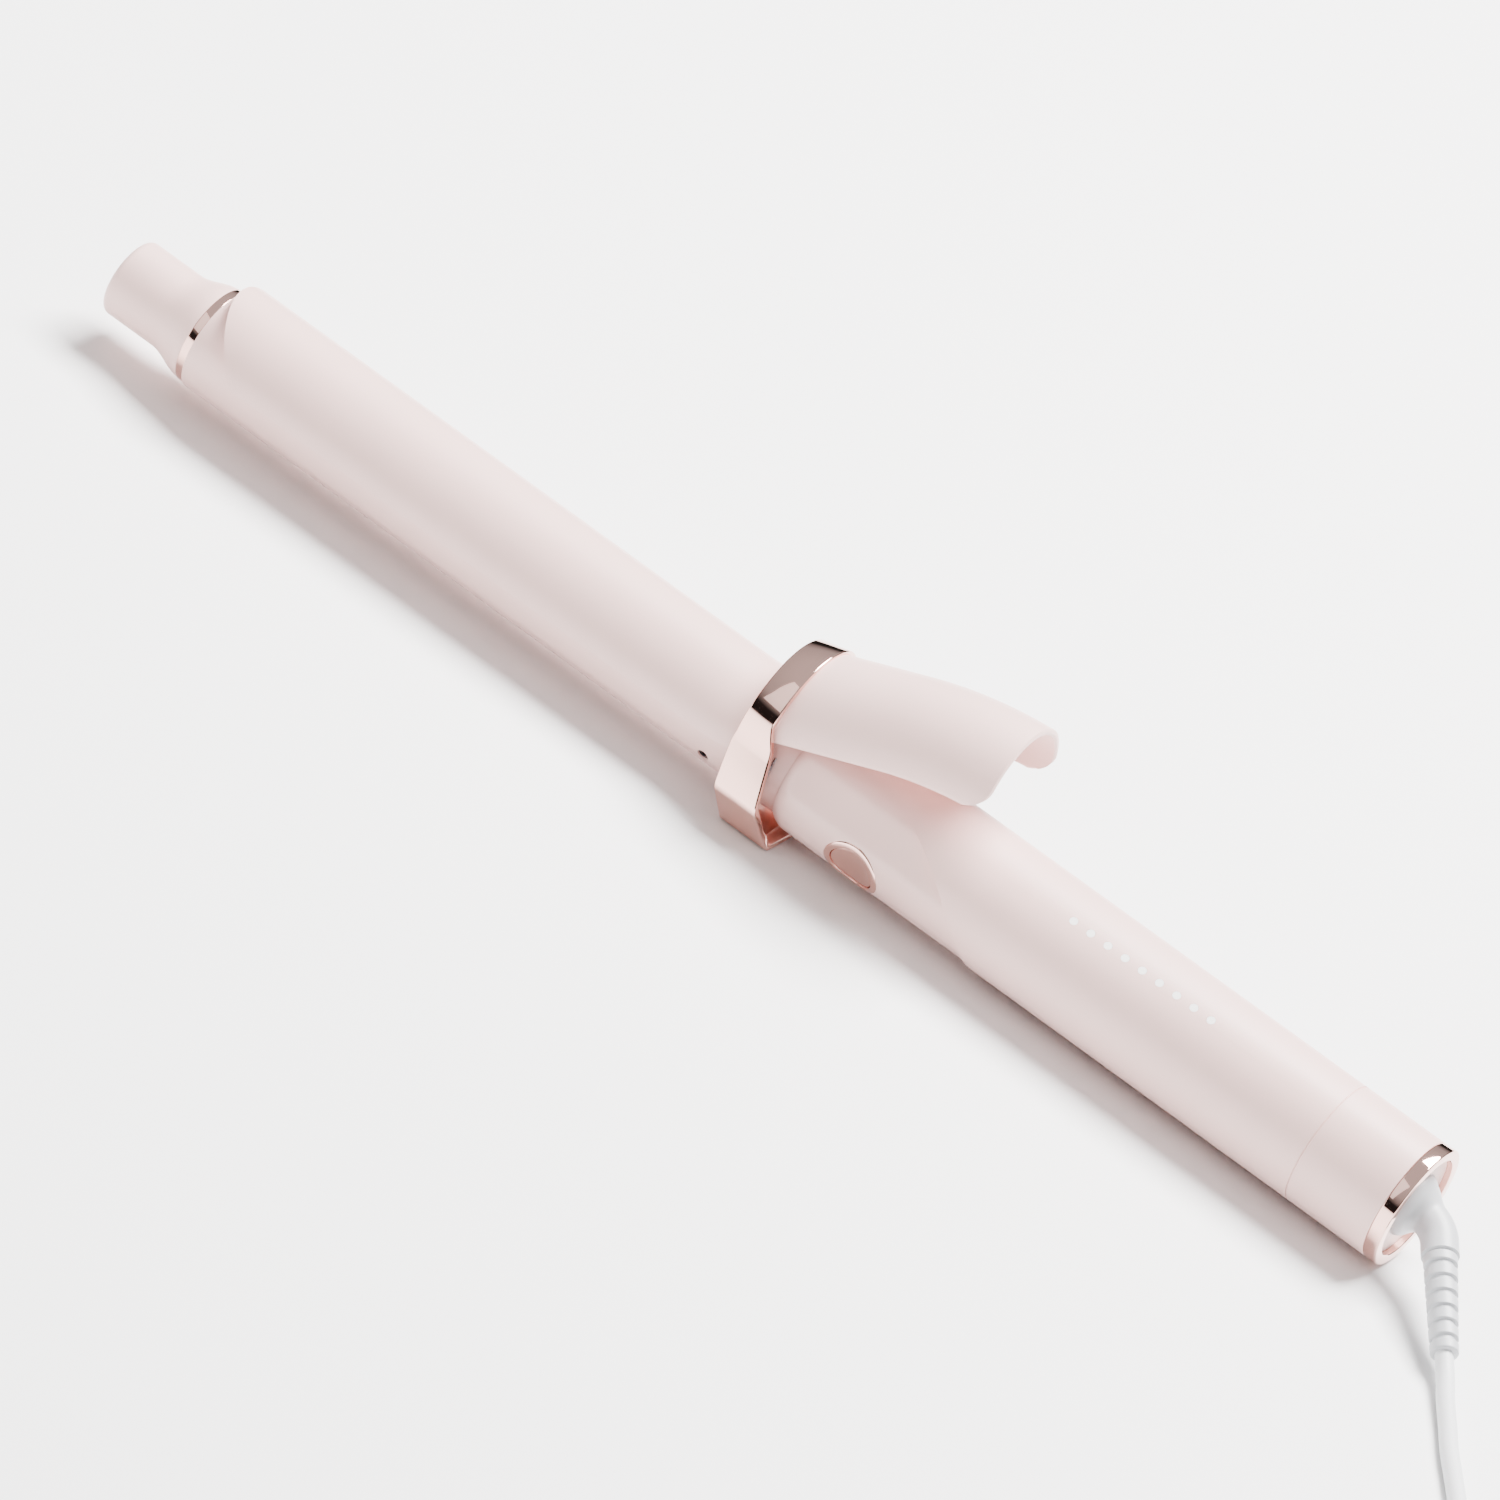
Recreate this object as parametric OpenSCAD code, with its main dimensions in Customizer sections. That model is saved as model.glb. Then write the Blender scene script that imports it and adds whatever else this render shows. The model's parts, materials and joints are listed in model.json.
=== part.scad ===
// Curling iron with a spring clamp, a collar that is also its stand, and a swivel cord.
// The barrel's axis runs along X, the tip points to -X and the thumb lever stands up to +Z.
// The origin lies under the middle of the iron, on the surface that it rests on.

/* [Tip] */
// Length of the cool tip
tip_len = 25; // [18:0.5:35]
// Diameter of the cool tip's narrow end
tip_d = 19.4; // [14:0.2:22]
// Length of the narrow part before the flare
tip_straight = 15; // [8:0.5:20]
// Width of the metal ring behind the tip
tip_ring_w = 2.2; // [1:0.1:4]

/* [Barrel] */
// Diameter of the heated barrel
barrel_d = 25.4; // [22:0.2:32]
// Wall of the barrel tube
barrel_wall = 1.2; // [0.8:0.1:1.6]
// Length of the barrel from the tip ring to the clamp's hinge
barrel_len = 165.8; // [130:1:210]
// Length of the ceramic heater inside the barrel
heater_len = 90; // [60:1:100]

/* [Clamp] */
// Thickness of the clamp plate
clamp_t = 1.8; // [1.2:0.1:2.4]
// Gap between the closed clamp plate and the barrel
clamp_gap = 0.8; // [0.4:0.1:1.5]
// Depth of the plate's rounded front end
clamp_nose = 13; // [6:0.5:18]
// Angle that the clamp opens
clamp_open = 18; // [10:1:18]

/* [Collar] */
// Wall of the collar ring
collar_wall = 1.9; // [1.5:0.1:2.2]
// Clear space between the collar's arch and the barrel, at the sides
collar_side_gap = 3.9; // [3.6:0.1:6]
// How far the collar's flanks flare out
collar_flare = 2.5; // [1:0.1:4]
// Half the width of the flat foot
foot_half_w = 13; // [10:0.2:15]
// Clear space between the handle's neck and the foot's inner face
foot_gap = 0.1; // [0.1:0.05:2]
// Length of the flat foot
foot_len = 13.5; // [9:0.5:16]

/* [Lever] */
// Wall of the thumb lever
lever_wall = 1.6; // [1.2:0.1:1.8]
// Reach of the lever behind the hinge
lever_len = 52.5; // [45:0.5:62]

/* [Handle] */
// How much wider the handle is than the barrel
handle_over = 4.9; // [4.4:0.1:6]
// Wall of the handle shell
shell_wall = 1.5; // [1.2:0.1:2]
// Length from the clamp's hinge to the end of the handle
handle_len = 178; // [150:1:220]
// Width of the metal ring at the handle's end
end_ring_w = 3.5; // [2:0.1:6]
// Length of the rear sleeve in front of that ring
rear_sleeve_len = 21.5; // [18:0.5:30]

/* [Button and lights] */
// Diameter of the power button
button_d = 11.6; // [8:0.2:12]
// Travel of the power button
button_travel = 0.8; // [0.4:0.1:1]
// Number of indicator lights
lights = 9; // [3:1:11]
// Spacing of the indicator lights
light_pitch = 4.8; // [3:0.1:5]
// Diameter of an indicator light
light_d = 2; // [1.2:0.1:2.6]

/* [Hidden] */
$fn = 96;

// Clearances
FIT = 0.05;      // radial clearance of a piece that is pushed into another
RUN = 0.06;      // radial clearance of a piece that turns or slides in another
CLEAR = 0.5;     // space round a piece that moves past another
EPS = 0.5;       // a cutter passes its face by this much

// Stations along the axis, counted from the tip's end
s_ring = tip_len;
s_barrel = s_ring + tip_ring_w;
s_hinge = s_barrel + barrel_len;
s_end = s_hinge + handle_len;
s_end_ring = s_end - end_ring_w;
s_rear = s_end_ring - rear_sleeve_len;
half_len = s_end / 2;

// Radii
barrel_r = barrel_d / 2;
bore_r = barrel_r - barrel_wall;
plug_r = bore_r - FIT;
plate_in_r = barrel_r + clamp_gap;
plate_out_r = plate_in_r + clamp_t;
shell_r = (barrel_d + handle_over) / 2;
shell_in_r = shell_r - shell_wall;
liner_r = shell_in_r - FIT;
neck_step = 0.65;                       // the neck is this much slimmer than the shell
neck_r = shell_r - neck_step;
neck_front_r = barrel_r + 0.7;
liner_wall = 1.1;
liner_in_r = liner_r - liner_wall;

foot_drop = neck_r + foot_gap + collar_wall;

// Neck
neck_gap = 7;                           // from the hinge to the neck's front edge
neck_taper = 3.5;
socket_len = 14;                        // the barrel goes this far into the neck
s_neck = s_hinge + neck_gap;
s_socket = s_neck + socket_len;
scoop_r = 45.7;                         // the shoulder follows a circle seen from the side
scoop_at = 22.7;                        // its centre, behind the hinge
scoop_low = 33;                         // and below the axis
neck_overlap = 8;                       // the liner reaches this far past the shoulder
s_scoop = s_hinge + scoop_at;
scoop_reach = sqrt(pow(scoop_r, 2) - pow(scoop_low - shell_r, 2));
s_neck_end = s_scoop + scoop_reach + neck_overlap;
s_shell = s_neck + neck_taper;

// Collar: an arch, flared flanks, chamfers and the flat foot, as seen from the front
arch_r = barrel_r + collar_side_gap + collar_wall;
arch_up = 9.5;
flank_top = arch_up + 4.5;
flank_low = -6;
flank_w = arch_r + collar_flare;
flank_start = arch_r - 1.5;
collar_points = [[flank_start, flank_top], [flank_w, flank_low], [foot_half_w, -foot_drop]];
arch_in_r = arch_r - collar_wall;
// The same seen from the side, in front of (-) and behind (+) the hinge
band_front = -6.5;
band_back = 1;
foot_from = -2.5;
foot_to = foot_from + foot_len;
band_side = [
    [band_front, 60], [band_front, 5], [foot_from, -foot_drop], [foot_to, -foot_drop],
    [foot_to - 2, -foot_drop + 4], [band_back + 3, 6], [band_back, 13], [band_back, 60]
];

// Hinge
pin_r = 1.25;
boss_r = 2.6;
flank_slope = (flank_w - flank_start) / (flank_top - flank_low);
side_in = flank_start + flank_slope * flank_top - collar_wall * sqrt(1 + pow(flank_slope, 2));
boss_end = side_in - 0.8;
pin_root = 1.2;                         // the pin starts this far above the barrel
pin_bite = 1.3;                         // the pin goes this far into the collar's wall
bracket_from = -5;                      // front and rear faces of the bracket
bracket_to = 1;
bracket_low = 4.8;
bracket_clear_r = barrel_r + 2.2;

// Spring
wire_r = 0.4;
coil_r = boss_r + wire_r + 0.35;
coil_turns = 2.5;
wire_pitch = 2 * wire_r + 0.05;
spring_leg = bracket_low;

// Lever: a straight rise, then a thumb rest that bends down towards level
rise = 21.6;
lever_r = arch_in_r - 0.4;
lever_up = arch_up + 0.9;               // height of the lever's centre line above the hinge
lever_from = 2.5;
rise_len = 25.3;
bend_r = 93;
bend_turn = 24;
lever_skirt = 1.2;
thumb_round = 5;
thumb_power = 4;
thumb_at = lever_from + rise_len * cos(rise);
thumb_up = lever_up + rise_len * sin(rise);

// Clamp plate's rise into the collar
plate_front_gap = 0.8;                  // from the tip ring to the plate's nose
plate_bend_r = 40;
plate_bend_at = 15;                     // the bend starts this far in front of the hinge
plate_rise = 20;
s_plate = s_barrel + plate_front_gap;
s_plate_bend = s_hinge - plate_bend_at;

// Heater
heater_w = 16;
heater_t = 2.4;
electrode_t = 0.5;
heater_at = 95;                         // middle of the heater, behind the tip ring
stack_half = heater_t / 2 + electrode_t;
s_heater = s_barrel + heater_at - heater_len / 2;
carrier_over = 4;
sensor_r = 1.2;
lead_r = 0.8;
lead_y = 5;
lead_z = 2.32;
mica_t = 1.5;
s_mica = s_hinge - 12;

// Tip fastening
tip_spigot = 7;
tip_plate_t = 2;
tip_screw_r = 1.5;
tip_screw_len = 12;
tip_screw_head_r = 2.8;
tip_screw_head_t = 1.8;
tip_dome = 0.6;
tip_edge_r = 1.5;

// Barrel screw
screw_s = s_hinge - 13.5;
screw_angle = 126;
screw_r = 1.5;
screw_head_r = 1.5;
screw_sink = 0.5;

// Board and its frame
board_t = 1.6;
board_top = 0.6;
board_half_w = shell_in_r - 0.45;
s_board = s_neck_end + 1;
board_len = s_rear - 10 - s_board;
post_r = 2.4;
post_in = 6;                            // from the board's ends to its screws
board_screw_r = 1;

// Button
button_s = s_hinge + 30;
button_angle = 124;
button_r = button_d / 2;
bezel_in_r = button_r + RUN;
bezel_w = 1.65;
bezel_r = bezel_in_r + bezel_w;
bezel_proud = 0.3;
button_flange = 1;
button_low = sqrt(pow(liner_in_r, 2) - pow(bezel_r, 2)) - 0.3;
flange_t = 0.8;
button_face = neck_r - 0.25;
switch_w = 6;
switch_top = button_low - flange_t - button_travel - 0.1;
switch_h = 3.4;
switch_board_t = 1.2;

// Lights
light_angle = 33;
light_first = 80.4;
s_light = s_hinge + light_first;
guide_top = shell_in_r - 1.2;
guide_t = 1.6;
strip_t = 0.8;
strip_gap = 1.2;

// Swivel
cap_t = 5;
cap_recess = 1.5;
s_cap_face = s_end - cap_recess;
s_cap = s_cap_face - cap_t;
core_r = 8;
core_flange_r = 10.5;
core_flange_t = 2.5;
core_hole_r = 2.4;
contact_gap = 0.6;
s_core = s_cap - 0.3 - core_flange_t;
block_t = 6;
s_block = s_core - contact_gap - block_t;
contact_r = 5;
ring_in_r = liner_r - 1;

// Elbow of the strain relief
elbow_angle = 52;
elbow_roll = 113.4;
elbow_r = 11;
elbow_lead = 2;
elbow_tube_r = 4.3;
elbow_end = 4;
sleeve_len = 26;
sleeve_ribs = 6;
sleeve_r1 = 3.9;
sleeve_r2 = 3.2;
groove_w = 1.2;
groove_d = 0.7;

// Cord
cord_d = 4.2;
cord_r = cord_d / 2;
cord_sides = 10;
lead_route = [
    [213, -25.6, 5.4], [216.8, -30, 3.7], [221, -36.5, 2.7], [226, -44, 2.3], [231, -52, 2.2],
    [236.2, -59.4, 2.2], [241.5, -67, 2.2], [246.9, -74.9, 2.2], [252.3, -83, 2.3],
    [257.6, -91.3, 2.6], [262.6, -99.5, 3.1]
];
coil_at = [296.2, -93.9];
coil_mean_r = 23;
coil_cols = 4;
coil_rows = 4;
coil_half_w = (coil_cols * cord_d) / 2 + cord_r;
tie_t = 1;
tie_w = 7;
tie_angle = 250;
coil_h = coil_rows * cord_d;
tail_route = [
    [321.3, -69.9, 15.2], [319, -64.7, 13], [316.9, -59.8, 10.4], [314.5, -53.5, 8.9], [312.4, -47.7, 8.5]
];
plug_at = [312.4, -47.7, 8.5];
plug_turn = 110;
plug_w = 25;
plug_h = 17;
plug_len = 27;
plug_neck_len = 9;
blade_len = 17;
blade_w = 6.3;
blade_t = 1.5;
blade_gap = 12.7;

PINK = "#e3cfcb";
ROSE = "#c98f7f";
WHITE = "#e8e8ea";

// Frames: a child's z axis runs along the iron from station s
module along(s) translate([s - half_len, 0, foot_drop]) rotate([90, 0, 90]) children();
// Frames: a child's x runs along the iron and its z points up from the axis at station s
module upright(s) translate([s - half_len, 0, foot_drop]) children();
// Frames: a child's z points outwards from the axis, turned by angle a from straight up
module radial(s, a) upright(s) rotate([a, 0, 0]) children();

module tube(s, len, r_out, r_in) {
    along(s) difference() {
        cylinder(h = len, r = r_out);
        translate([0, 0, -EPS]) cylinder(h = len + 2 * EPS, r = r_in);
    }
}

module rod(s, len, r) along(s) cylinder(h = len, r = r);

// ---- tip ----
module tip_profile() {
    flare_r = barrel_r - 0.5;
    steps = 16;
    polygon(concat(
        [[0, 0]],
        [for (i = [0 : 6]) let (a = i * 15)
            [tip_d / 2 - tip_edge_r * (1 - sin(a)), tip_dome + tip_edge_r * (1 - cos(a)) ]],
        [for (i = [0 : steps]) let (t = i / steps)
            [tip_d / 2 + (flare_r - tip_d / 2) * (1 - cos(180 * t)) / 2,
             tip_straight + (tip_len - tip_straight) * t]],
        [[plug_r, tip_len], [plug_r, tip_len + tip_spigot], [0, tip_len + tip_spigot]]
    ));
}

module cool_tip() {
    color(PINK) difference() {
        along(0) rotate_extrude() tip_profile();
        along(s_ring + tip_spigot - tip_screw_len + tip_plate_t - FIT)
            cylinder(h = tip_screw_len, r = tip_screw_r + FIT);
    }
}

module tip_ring() {
    color(ROSE) tube(s_ring, tip_ring_w, barrel_r - 0.35, plug_r + FIT);
}

module tip_plate() {
    color("silver") tube(s_ring + tip_spigot, tip_plate_t, plug_r, tip_screw_r + FIT);
}

module tip_screw() {
    s0 = s_ring + tip_spigot + tip_plate_t;
    color("silver") {
        rod(s0 - tip_screw_len, tip_screw_len, tip_screw_r);
        rod(s0, tip_screw_head_t, tip_screw_head_r);
    }
}

// ---- barrel ----
module barrel_tube() {
    color(PINK) difference() {
        tube(s_barrel, s_socket - s_barrel, barrel_r, bore_r);
        radial(screw_s, screw_angle) translate([0, 0, bore_r - 2]) cylinder(h = 6, r = screw_r + FIT);
    }
}

module heater_core() {
    color("dimgray") upright(s_heater + heater_len / 2)
        cube([heater_len, heater_w, heater_t], center = true);
}

module electrode_plates() {
    color("gold") for (side = [-1, 1])
        upright(s_heater + heater_len / 2)
            translate([0, 0, side * (heater_t + electrode_t) / 2])
                cube([heater_len, heater_w, electrode_t], center = true);
}

module heater_carriers() {
    color("lightgray") for (side = [0, 180]) difference() {
        rod(s_heater - carrier_over, heater_len + 2 * carrier_over, plug_r);
        radial(s_heater + heater_len / 2, side) {
            translate([-heater_len, -barrel_r, stack_half - 2 * barrel_r])
                cube([2 * heater_len, 2 * barrel_r, 2 * barrel_r]);
        }
        for (y = [-lead_y, lead_y])
            along(s_heater - carrier_over - EPS) translate([y, 0, 0])
                translate([0, side == 0 ? stack_half + 3 : -stack_half - 3, 0])
                    cylinder(h = heater_len + 2 * carrier_over + 2 * EPS, r = sensor_r + 0.1);
        for (half = [-1, 1])
            along(s_heater + heater_len) translate([lead_y, half * lead_z, 0])
                cylinder(h = carrier_over + EPS, r = lead_r + FIT);
    }
}

module temperature_sensor() {
    color("sienna") along(s_heater + heater_len / 2) translate([lead_y, stack_half + 3, 0]) {
        sphere(r = sensor_r);
        cylinder(h = s_mica - s_heater - heater_len / 2 - 2, r = lead_r / 2);
    }
}

module heater_leads() {
    s0 = s_heater + heater_len;
    color("white") for (side = [-1, 1])
        along(s0) translate([lead_y, side * lead_z, 0])
            cylinder(h = s_board - s0 - 0.5, r = lead_r);
}

module mica_disc() {
    color("tan") difference() {
        rod(s_mica, mica_t, plug_r);
        for (side = [-1, 1])
            along(s_mica - EPS)
                translate([lead_y, side * lead_z, 0])
                    cylinder(h = mica_t + 2 * EPS, r = lead_r + FIT);
    }
}

module barrel_screw() {
    color("dimgray") radial(screw_s, screw_angle) difference() {
        translate([0, 0, bore_r - 1.5]) cylinder(h = 1.5 + barrel_wall - screw_sink, r = screw_r);
        translate([0, 0, barrel_r - screw_sink - 0.8]) cylinder(h = 2, r = 0.7, $fn = 6);
    }
}

module pivot_bosses() {
    color("silver") for (side = [-1, 1]) difference() {
        upright(s_hinge) rotate([90 * side, 0, 0]) cylinder(h = boss_end, r = boss_r);
        rod(s_hinge - 10, 20, barrel_r);
        upright(s_hinge) rotate([90 * side, 0, 0])
            translate([0, 0, barrel_r + pin_root]) cylinder(h = 10, r = pin_r + 0.02);
    }
}

module hinge_pins() {
    pin_from = barrel_r + pin_root;
    color("gray") for (side = [-1, 1])
        upright(s_hinge) rotate([90 * side, 0, 0])
            translate([0, 0, pin_from]) cylinder(h = side_in + pin_bite - 0.1 - pin_from, r = pin_r);
}

// ---- handle ----
// The round scoop that the shoulder follows, right through the handle
module scoop() {
    upright(s_scoop) translate([0, 0, -scoop_low]) rotate([90, 0, 0])
        cylinder(h = 4 * shell_r, r = scoop_r, center = true, $fn = 256);
}

module handle_neck() {
    color(PINK) difference() {
        union() {
            intersection() {
                along(s_shell) cylinder(h = s_neck_end - s_shell, r = neck_r);
                scoop();
            }
            along(s_neck) cylinder(h = neck_taper, r1 = neck_front_r, r2 = neck_r);
            rod(s_shell, s_neck_end - s_shell, liner_r);
        }
        rod(s_neck - EPS, socket_len + EPS, barrel_r + FIT);
        rod(s_neck, s_socket - s_neck + 2, bore_r);
        rod(s_socket + 2, s_neck_end - s_socket, liner_in_r);
        radial(button_s, button_angle) cylinder(h = shell_r + 2, r = bezel_r);
    }
}

module handle_shell() {
    color(PINK) difference() {
        tube(s_shell, s_rear - s_shell, shell_r, shell_in_r);
        scoop();
        light_rows(light_d / 2 + FIT, shell_in_r - 3, shell_r + 1);
    }
}

// One straight post per light, from radius r1 to radius r2
module light_rows(r, r1, r2) {
    for (i = [0 : lights - 1])
        radial(s_light + i * light_pitch, light_angle)
            translate([0, 0, r1]) cylinder(h = r2 - r1, r = r, $fn = 32);
}

module rear_sleeve() {
    color(PINK) difference() {
        tube(s_rear, rear_sleeve_len, shell_r, shell_in_r);
        along(s_rear) rotate_extrude()
            polygon([[shell_r - 0.25, -EPS], [shell_r + 1, -EPS], [shell_r + 1, 0.35], [shell_r, 0.35],
                [shell_r - 0.25, 0.1]]);
    }
}

module end_ring() {
    color(ROSE) tube(s_end_ring, end_ring_w, shell_r + 0.1, ring_in_r);
}

module rear_cap() {
    color(PINK) difference() {
        union() {
            rod(s_cap, s_end_ring - s_cap, liner_r);
            rod(s_cap, cap_t, ring_in_r - FIT);
        }
        rod(s_cap - EPS, cap_t + 2 * EPS, core_r + RUN);
    }
}

module inner_frame() {
    under = board_top - board_t;
    color("whitesmoke") difference() {
        union() {
            difference() {
                rod(s_board, board_len, liner_r);
                rod(s_board + 2, board_len - 4, liner_in_r);
            }
            for (s = [s_board + post_in, s_board + board_len - post_in])
                upright(s) translate([0, 0, -liner_in_r - 0.4]) cylinder(h = liner_in_r, r = post_r);
        }
        upright(s_board + board_len / 2) translate([0, 0, under + 50])
            cube([board_len + 2, 100, 100], center = true);
        for (s = [s_board + post_in, s_board + board_len - post_in])
            upright(s) translate([0, 0, under - 7]) cylinder(h = 8, r = board_screw_r + FIT);
    }
}

module circuit_board() {
    color("seagreen") difference() {
        upright(s_board + board_len / 2) translate([0, 0, board_top - board_t / 2])
            cube([board_len, 2 * board_half_w, board_t], center = true);
        for (s = [s_board + post_in, s_board + board_len - post_in])
            upright(s) translate([0, 0, board_top - board_t - EPS])
                cylinder(h = board_t + 2 * EPS, r = board_screw_r + FIT);
    }
}

// Two capacitors, a coil, a triac and a controller on the board
module board_components() {
    under = board_top - board_t;
    color("darkslateblue") {
        upright(s_board + 18) translate([0, 0, under - 8]) cylinder(h = 8, r = 4);
        upright(s_board + 30) translate([0, 0, under - 6]) cylinder(h = 6, r = 3);
        upright(s_board + 44) translate([-5, -4, under - 5]) cube([10, 8, 5]);
        upright(s_board + 22) translate([-4, 3, board_top]) cube([10, 6, 2.5]);
        upright(s_board + 12) translate([-3, -8, board_top]) cube([7, 7, 1]);
    }
}

module board_screws() {
    color("silver") for (s = [s_board + post_in, s_board + board_len - post_in])
        upright(s) {
            translate([0, 0, board_top - 6]) cylinder(h = 6, r = board_screw_r);
            translate([0, 0, board_top]) cylinder(h = 1.2, r = 2);
        }
}

// ---- button and lights ----
module button_bezel() {
    color(ROSE) intersection() {
        radial(button_s, button_angle) difference() {
            cylinder(h = shell_r + 2, r = bezel_r);
            translate([0, 0, -EPS]) cylinder(h = shell_r + 4, r = bezel_in_r);
        }
        tube(button_s - 2 * bezel_r, 4 * bezel_r, neck_r + bezel_proud, liner_in_r);
    }
}

module power_button() {
    color(ROSE) {
        intersection() {
            radial(button_s, button_angle) translate([0, 0, button_low - flange_t / 2])
                cylinder(h = shell_r - button_low + 2 + flange_t / 2, r = button_r);
            rod(button_s - 2 * bezel_r, 4 * bezel_r, button_face);
        }
        radial(button_s, button_angle) translate([0, 0, button_low - flange_t])
            cylinder(h = flange_t, r = button_r + button_flange);
    }
}

module tact_switch() {
    color("black") radial(button_s, button_angle) {
        translate([0, 0, switch_top - 1]) cylinder(h = 1, r = 1.7);
        translate([0, 0, switch_top - 1 - (switch_h - 1) / 2])
            cube([switch_w, switch_w, switch_h - 1], center = true);
    }
}

module switch_board() {
    color("seagreen") radial(button_s, button_angle)
        translate([0, 0, switch_top - switch_h - switch_board_t / 2])
            cube([18, 12, switch_board_t], center = true);
}

module light_guide() {
    bar = (lights - 1) * light_pitch + 2 * light_d;
    color("white") union() {
        light_rows(light_d / 2, guide_top - guide_t / 2, shell_r - 0.02);
        radial(s_light + (lights - 1) * light_pitch / 2, light_angle)
            translate([0, 0, guide_top - guide_t / 2]) cube([bar, light_d + 1, guide_t], center = true);
    }
}

module light_strip() {
    bar = (lights - 1) * light_pitch + 3 * light_d;
    low = guide_top - guide_t - strip_gap;
    color("ivory") {
        radial(s_light + (lights - 1) * light_pitch / 2, light_angle)
            translate([0, 0, low - strip_t / 2]) cube([bar, 5, strip_t], center = true);
        for (i = [0 : lights - 1])
            radial(s_light + i * light_pitch, light_angle)
                translate([0, 0, low + 0.5]) cube([1.6, 1.6, 1], center = true);
    }
}

// ---- swivel ----
module contact_block() {
    color("dimgray") difference() {
        rod(s_block, block_t, liner_r);
        for (y = [-contact_r, contact_r])
            along(s_block - EPS) translate([y, 0, 0]) cylinder(h = block_t + 2 * EPS, r = 1 + FIT);
    }
}

module swivel_contacts() {
    color("gold") for (y = [-contact_r, contact_r])
        along(s_block - 3) translate([y, 0, 0]) cylinder(h = block_t + 3 + contact_gap - 0.3, r = 1);
}

module supply_leads() {
    s0 = s_board + board_len + 0.3;
    color("brown") for (y = [-contact_r, contact_r])
        along(s0) translate([y, 0, 0]) cylinder(h = s_block - 3 - s0, r = lead_r);
}

module swivel_core() {
    color(WHITE) difference() {
        union() {
            rod(s_core, core_flange_t, core_flange_r);
            rod(s_core, s_cap_face - s_core, core_r);
        }
        rod(s_core - EPS, s_cap_face - s_core + 2 * EPS, core_hole_r);
    }
}

// Outline of the grooved sleeve, from the elbow to its thin end
module sleeve_profile() {
    pitch = sleeve_len / (sleeve_ribs + 0.5);
    polygon(concat(
        [[0, -1], [sleeve_r1 - groove_d, -1]],
        [for (i = [0 : sleeve_ribs]) let (z = i * pitch, r = sleeve_r1 + (sleeve_r2 - sleeve_r1) * z / sleeve_len)
            each [[r - groove_d, z], [r - groove_d, z + groove_w / 2], [r, z + groove_w],
                [r, min(z + pitch - groove_w / 2, sleeve_len)]]],
        [[sleeve_r2, sleeve_len], [0, sleeve_len]]
    ));
}

module strain_relief() {
    color(WHITE) upright(s_cap_face) rotate([elbow_roll, 0, 0]) {
        rotate([0, 90, 0]) cylinder(h = elbow_lead + 3.5, r1 = core_r - 0.1, r2 = elbow_tube_r);
        translate([elbow_lead, 0, elbow_r]) {
            rotate([90, 0, 0]) rotate([0, 0, -90]) rotate_extrude(angle = elbow_angle)
                translate([elbow_r, 0]) circle(r = elbow_tube_r, $fn = 48);
            rotate([0, 90 - elbow_angle, 0]) translate([elbow_r, 0, 0]) {
                sphere(r = elbow_tube_r + 0.05);
                relief_end();
            }
        }
    }
}

// The straight end, drawn along z from the end of the bend
module relief_end() {
    cylinder(h = elbow_end, r = elbow_tube_r, $fn = 48);
    translate([0, 0, elbow_end]) rotate_extrude($fn = 48) sleeve_profile();
}

// ---- clamp, lever and collar ----
// Half ring of the clamp or lever, x up from its centre line and y across
module half_ring(r_out, r_in, skirt)
    intersection() {
        difference() {
            circle(r = r_out);
            circle(r = r_in);
        }
        translate([-skirt, -r_out - 1]) square([r_out + skirt + 1, 2 * r_out + 2]);
    }

// Half ring swept straight along x
module half_run(len, r_out, r_in, skirt = 0)
    rotate([0, 90, 0]) linear_extrude(height = len) mirror([1, 0]) half_ring(r_out, r_in, skirt);

// Half ring swept round a bend that turns up from level, its centre above the line
module half_bend_up(r, turn, r_out, r_in)
    translate([0, 0, r]) rotate([90, 0, 0]) rotate([0, 0, -90])
        rotate_extrude(angle = turn, $fn = 192)
            translate([r, 0]) mirror([1, 0]) half_ring(r_out, r_in, 0);

// Half ring swept round a bend from slope a down to slope b, its centre below the line
module half_bend_down(r, a, b, r_out, r_in, skirt)
    translate([r * sin(a), 0, -r * cos(a)]) rotate([90, 0, 0]) rotate([0, 0, 90 + b])
        rotate_extrude(angle = a - b, $fn = 192) translate([r, 0]) half_ring(r_out, r_in, skirt);

// Plan outline with a rounded nose at x = 0 and straight sides behind it. Power 2 makes the
// nose a half ellipse, and a higher power makes it blunter.
module nosed_plan(depth, half_w, len, power) {
    linear_extrude(height = 100) polygon(concat(
        [for (a = [-90 : 7.5 : 90])
            [depth * (1 - pow(abs(cos(a)), 2 / power)), half_w * sign(a) * pow(abs(sin(a)), 2 / power)]],
        [[len, half_w], [len, -half_w]]
    ));
}

module clamp_plate() {
    run = s_plate_bend - s_plate;
    color(PINK) intersection() {
        union() {
            upright(s_plate) half_run(run, plate_out_r, plate_in_r);
            upright(s_plate_bend) half_bend_up(plate_bend_r, plate_rise, plate_out_r, plate_in_r);
        }
        upright(s_plate) translate([0, 0, -10])
            nosed_plan(clamp_nose, plate_out_r + 0.01, s_hinge + bracket_from - s_plate, 2);
    }
}

// Solid of the collar's outline: an arch of radius r over the points of one flank. The flanks
// start a little inside the arch, so that they cross it and do not only touch it.
module collar_solid(r, points) {
    len = 60;
    upright(s_hinge) translate([-len / 2, 0, 0]) rotate([90, 0, 90]) {
        translate([0, arch_up, 0]) cylinder(h = len, r = r, $fn = 128);
        linear_extrude(height = len) polygon(concat(
            points, [for (i = [len(points) - 1 : -1 : 0]) [-points[i][0], points[i][1]]]));
    }
}

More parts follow.
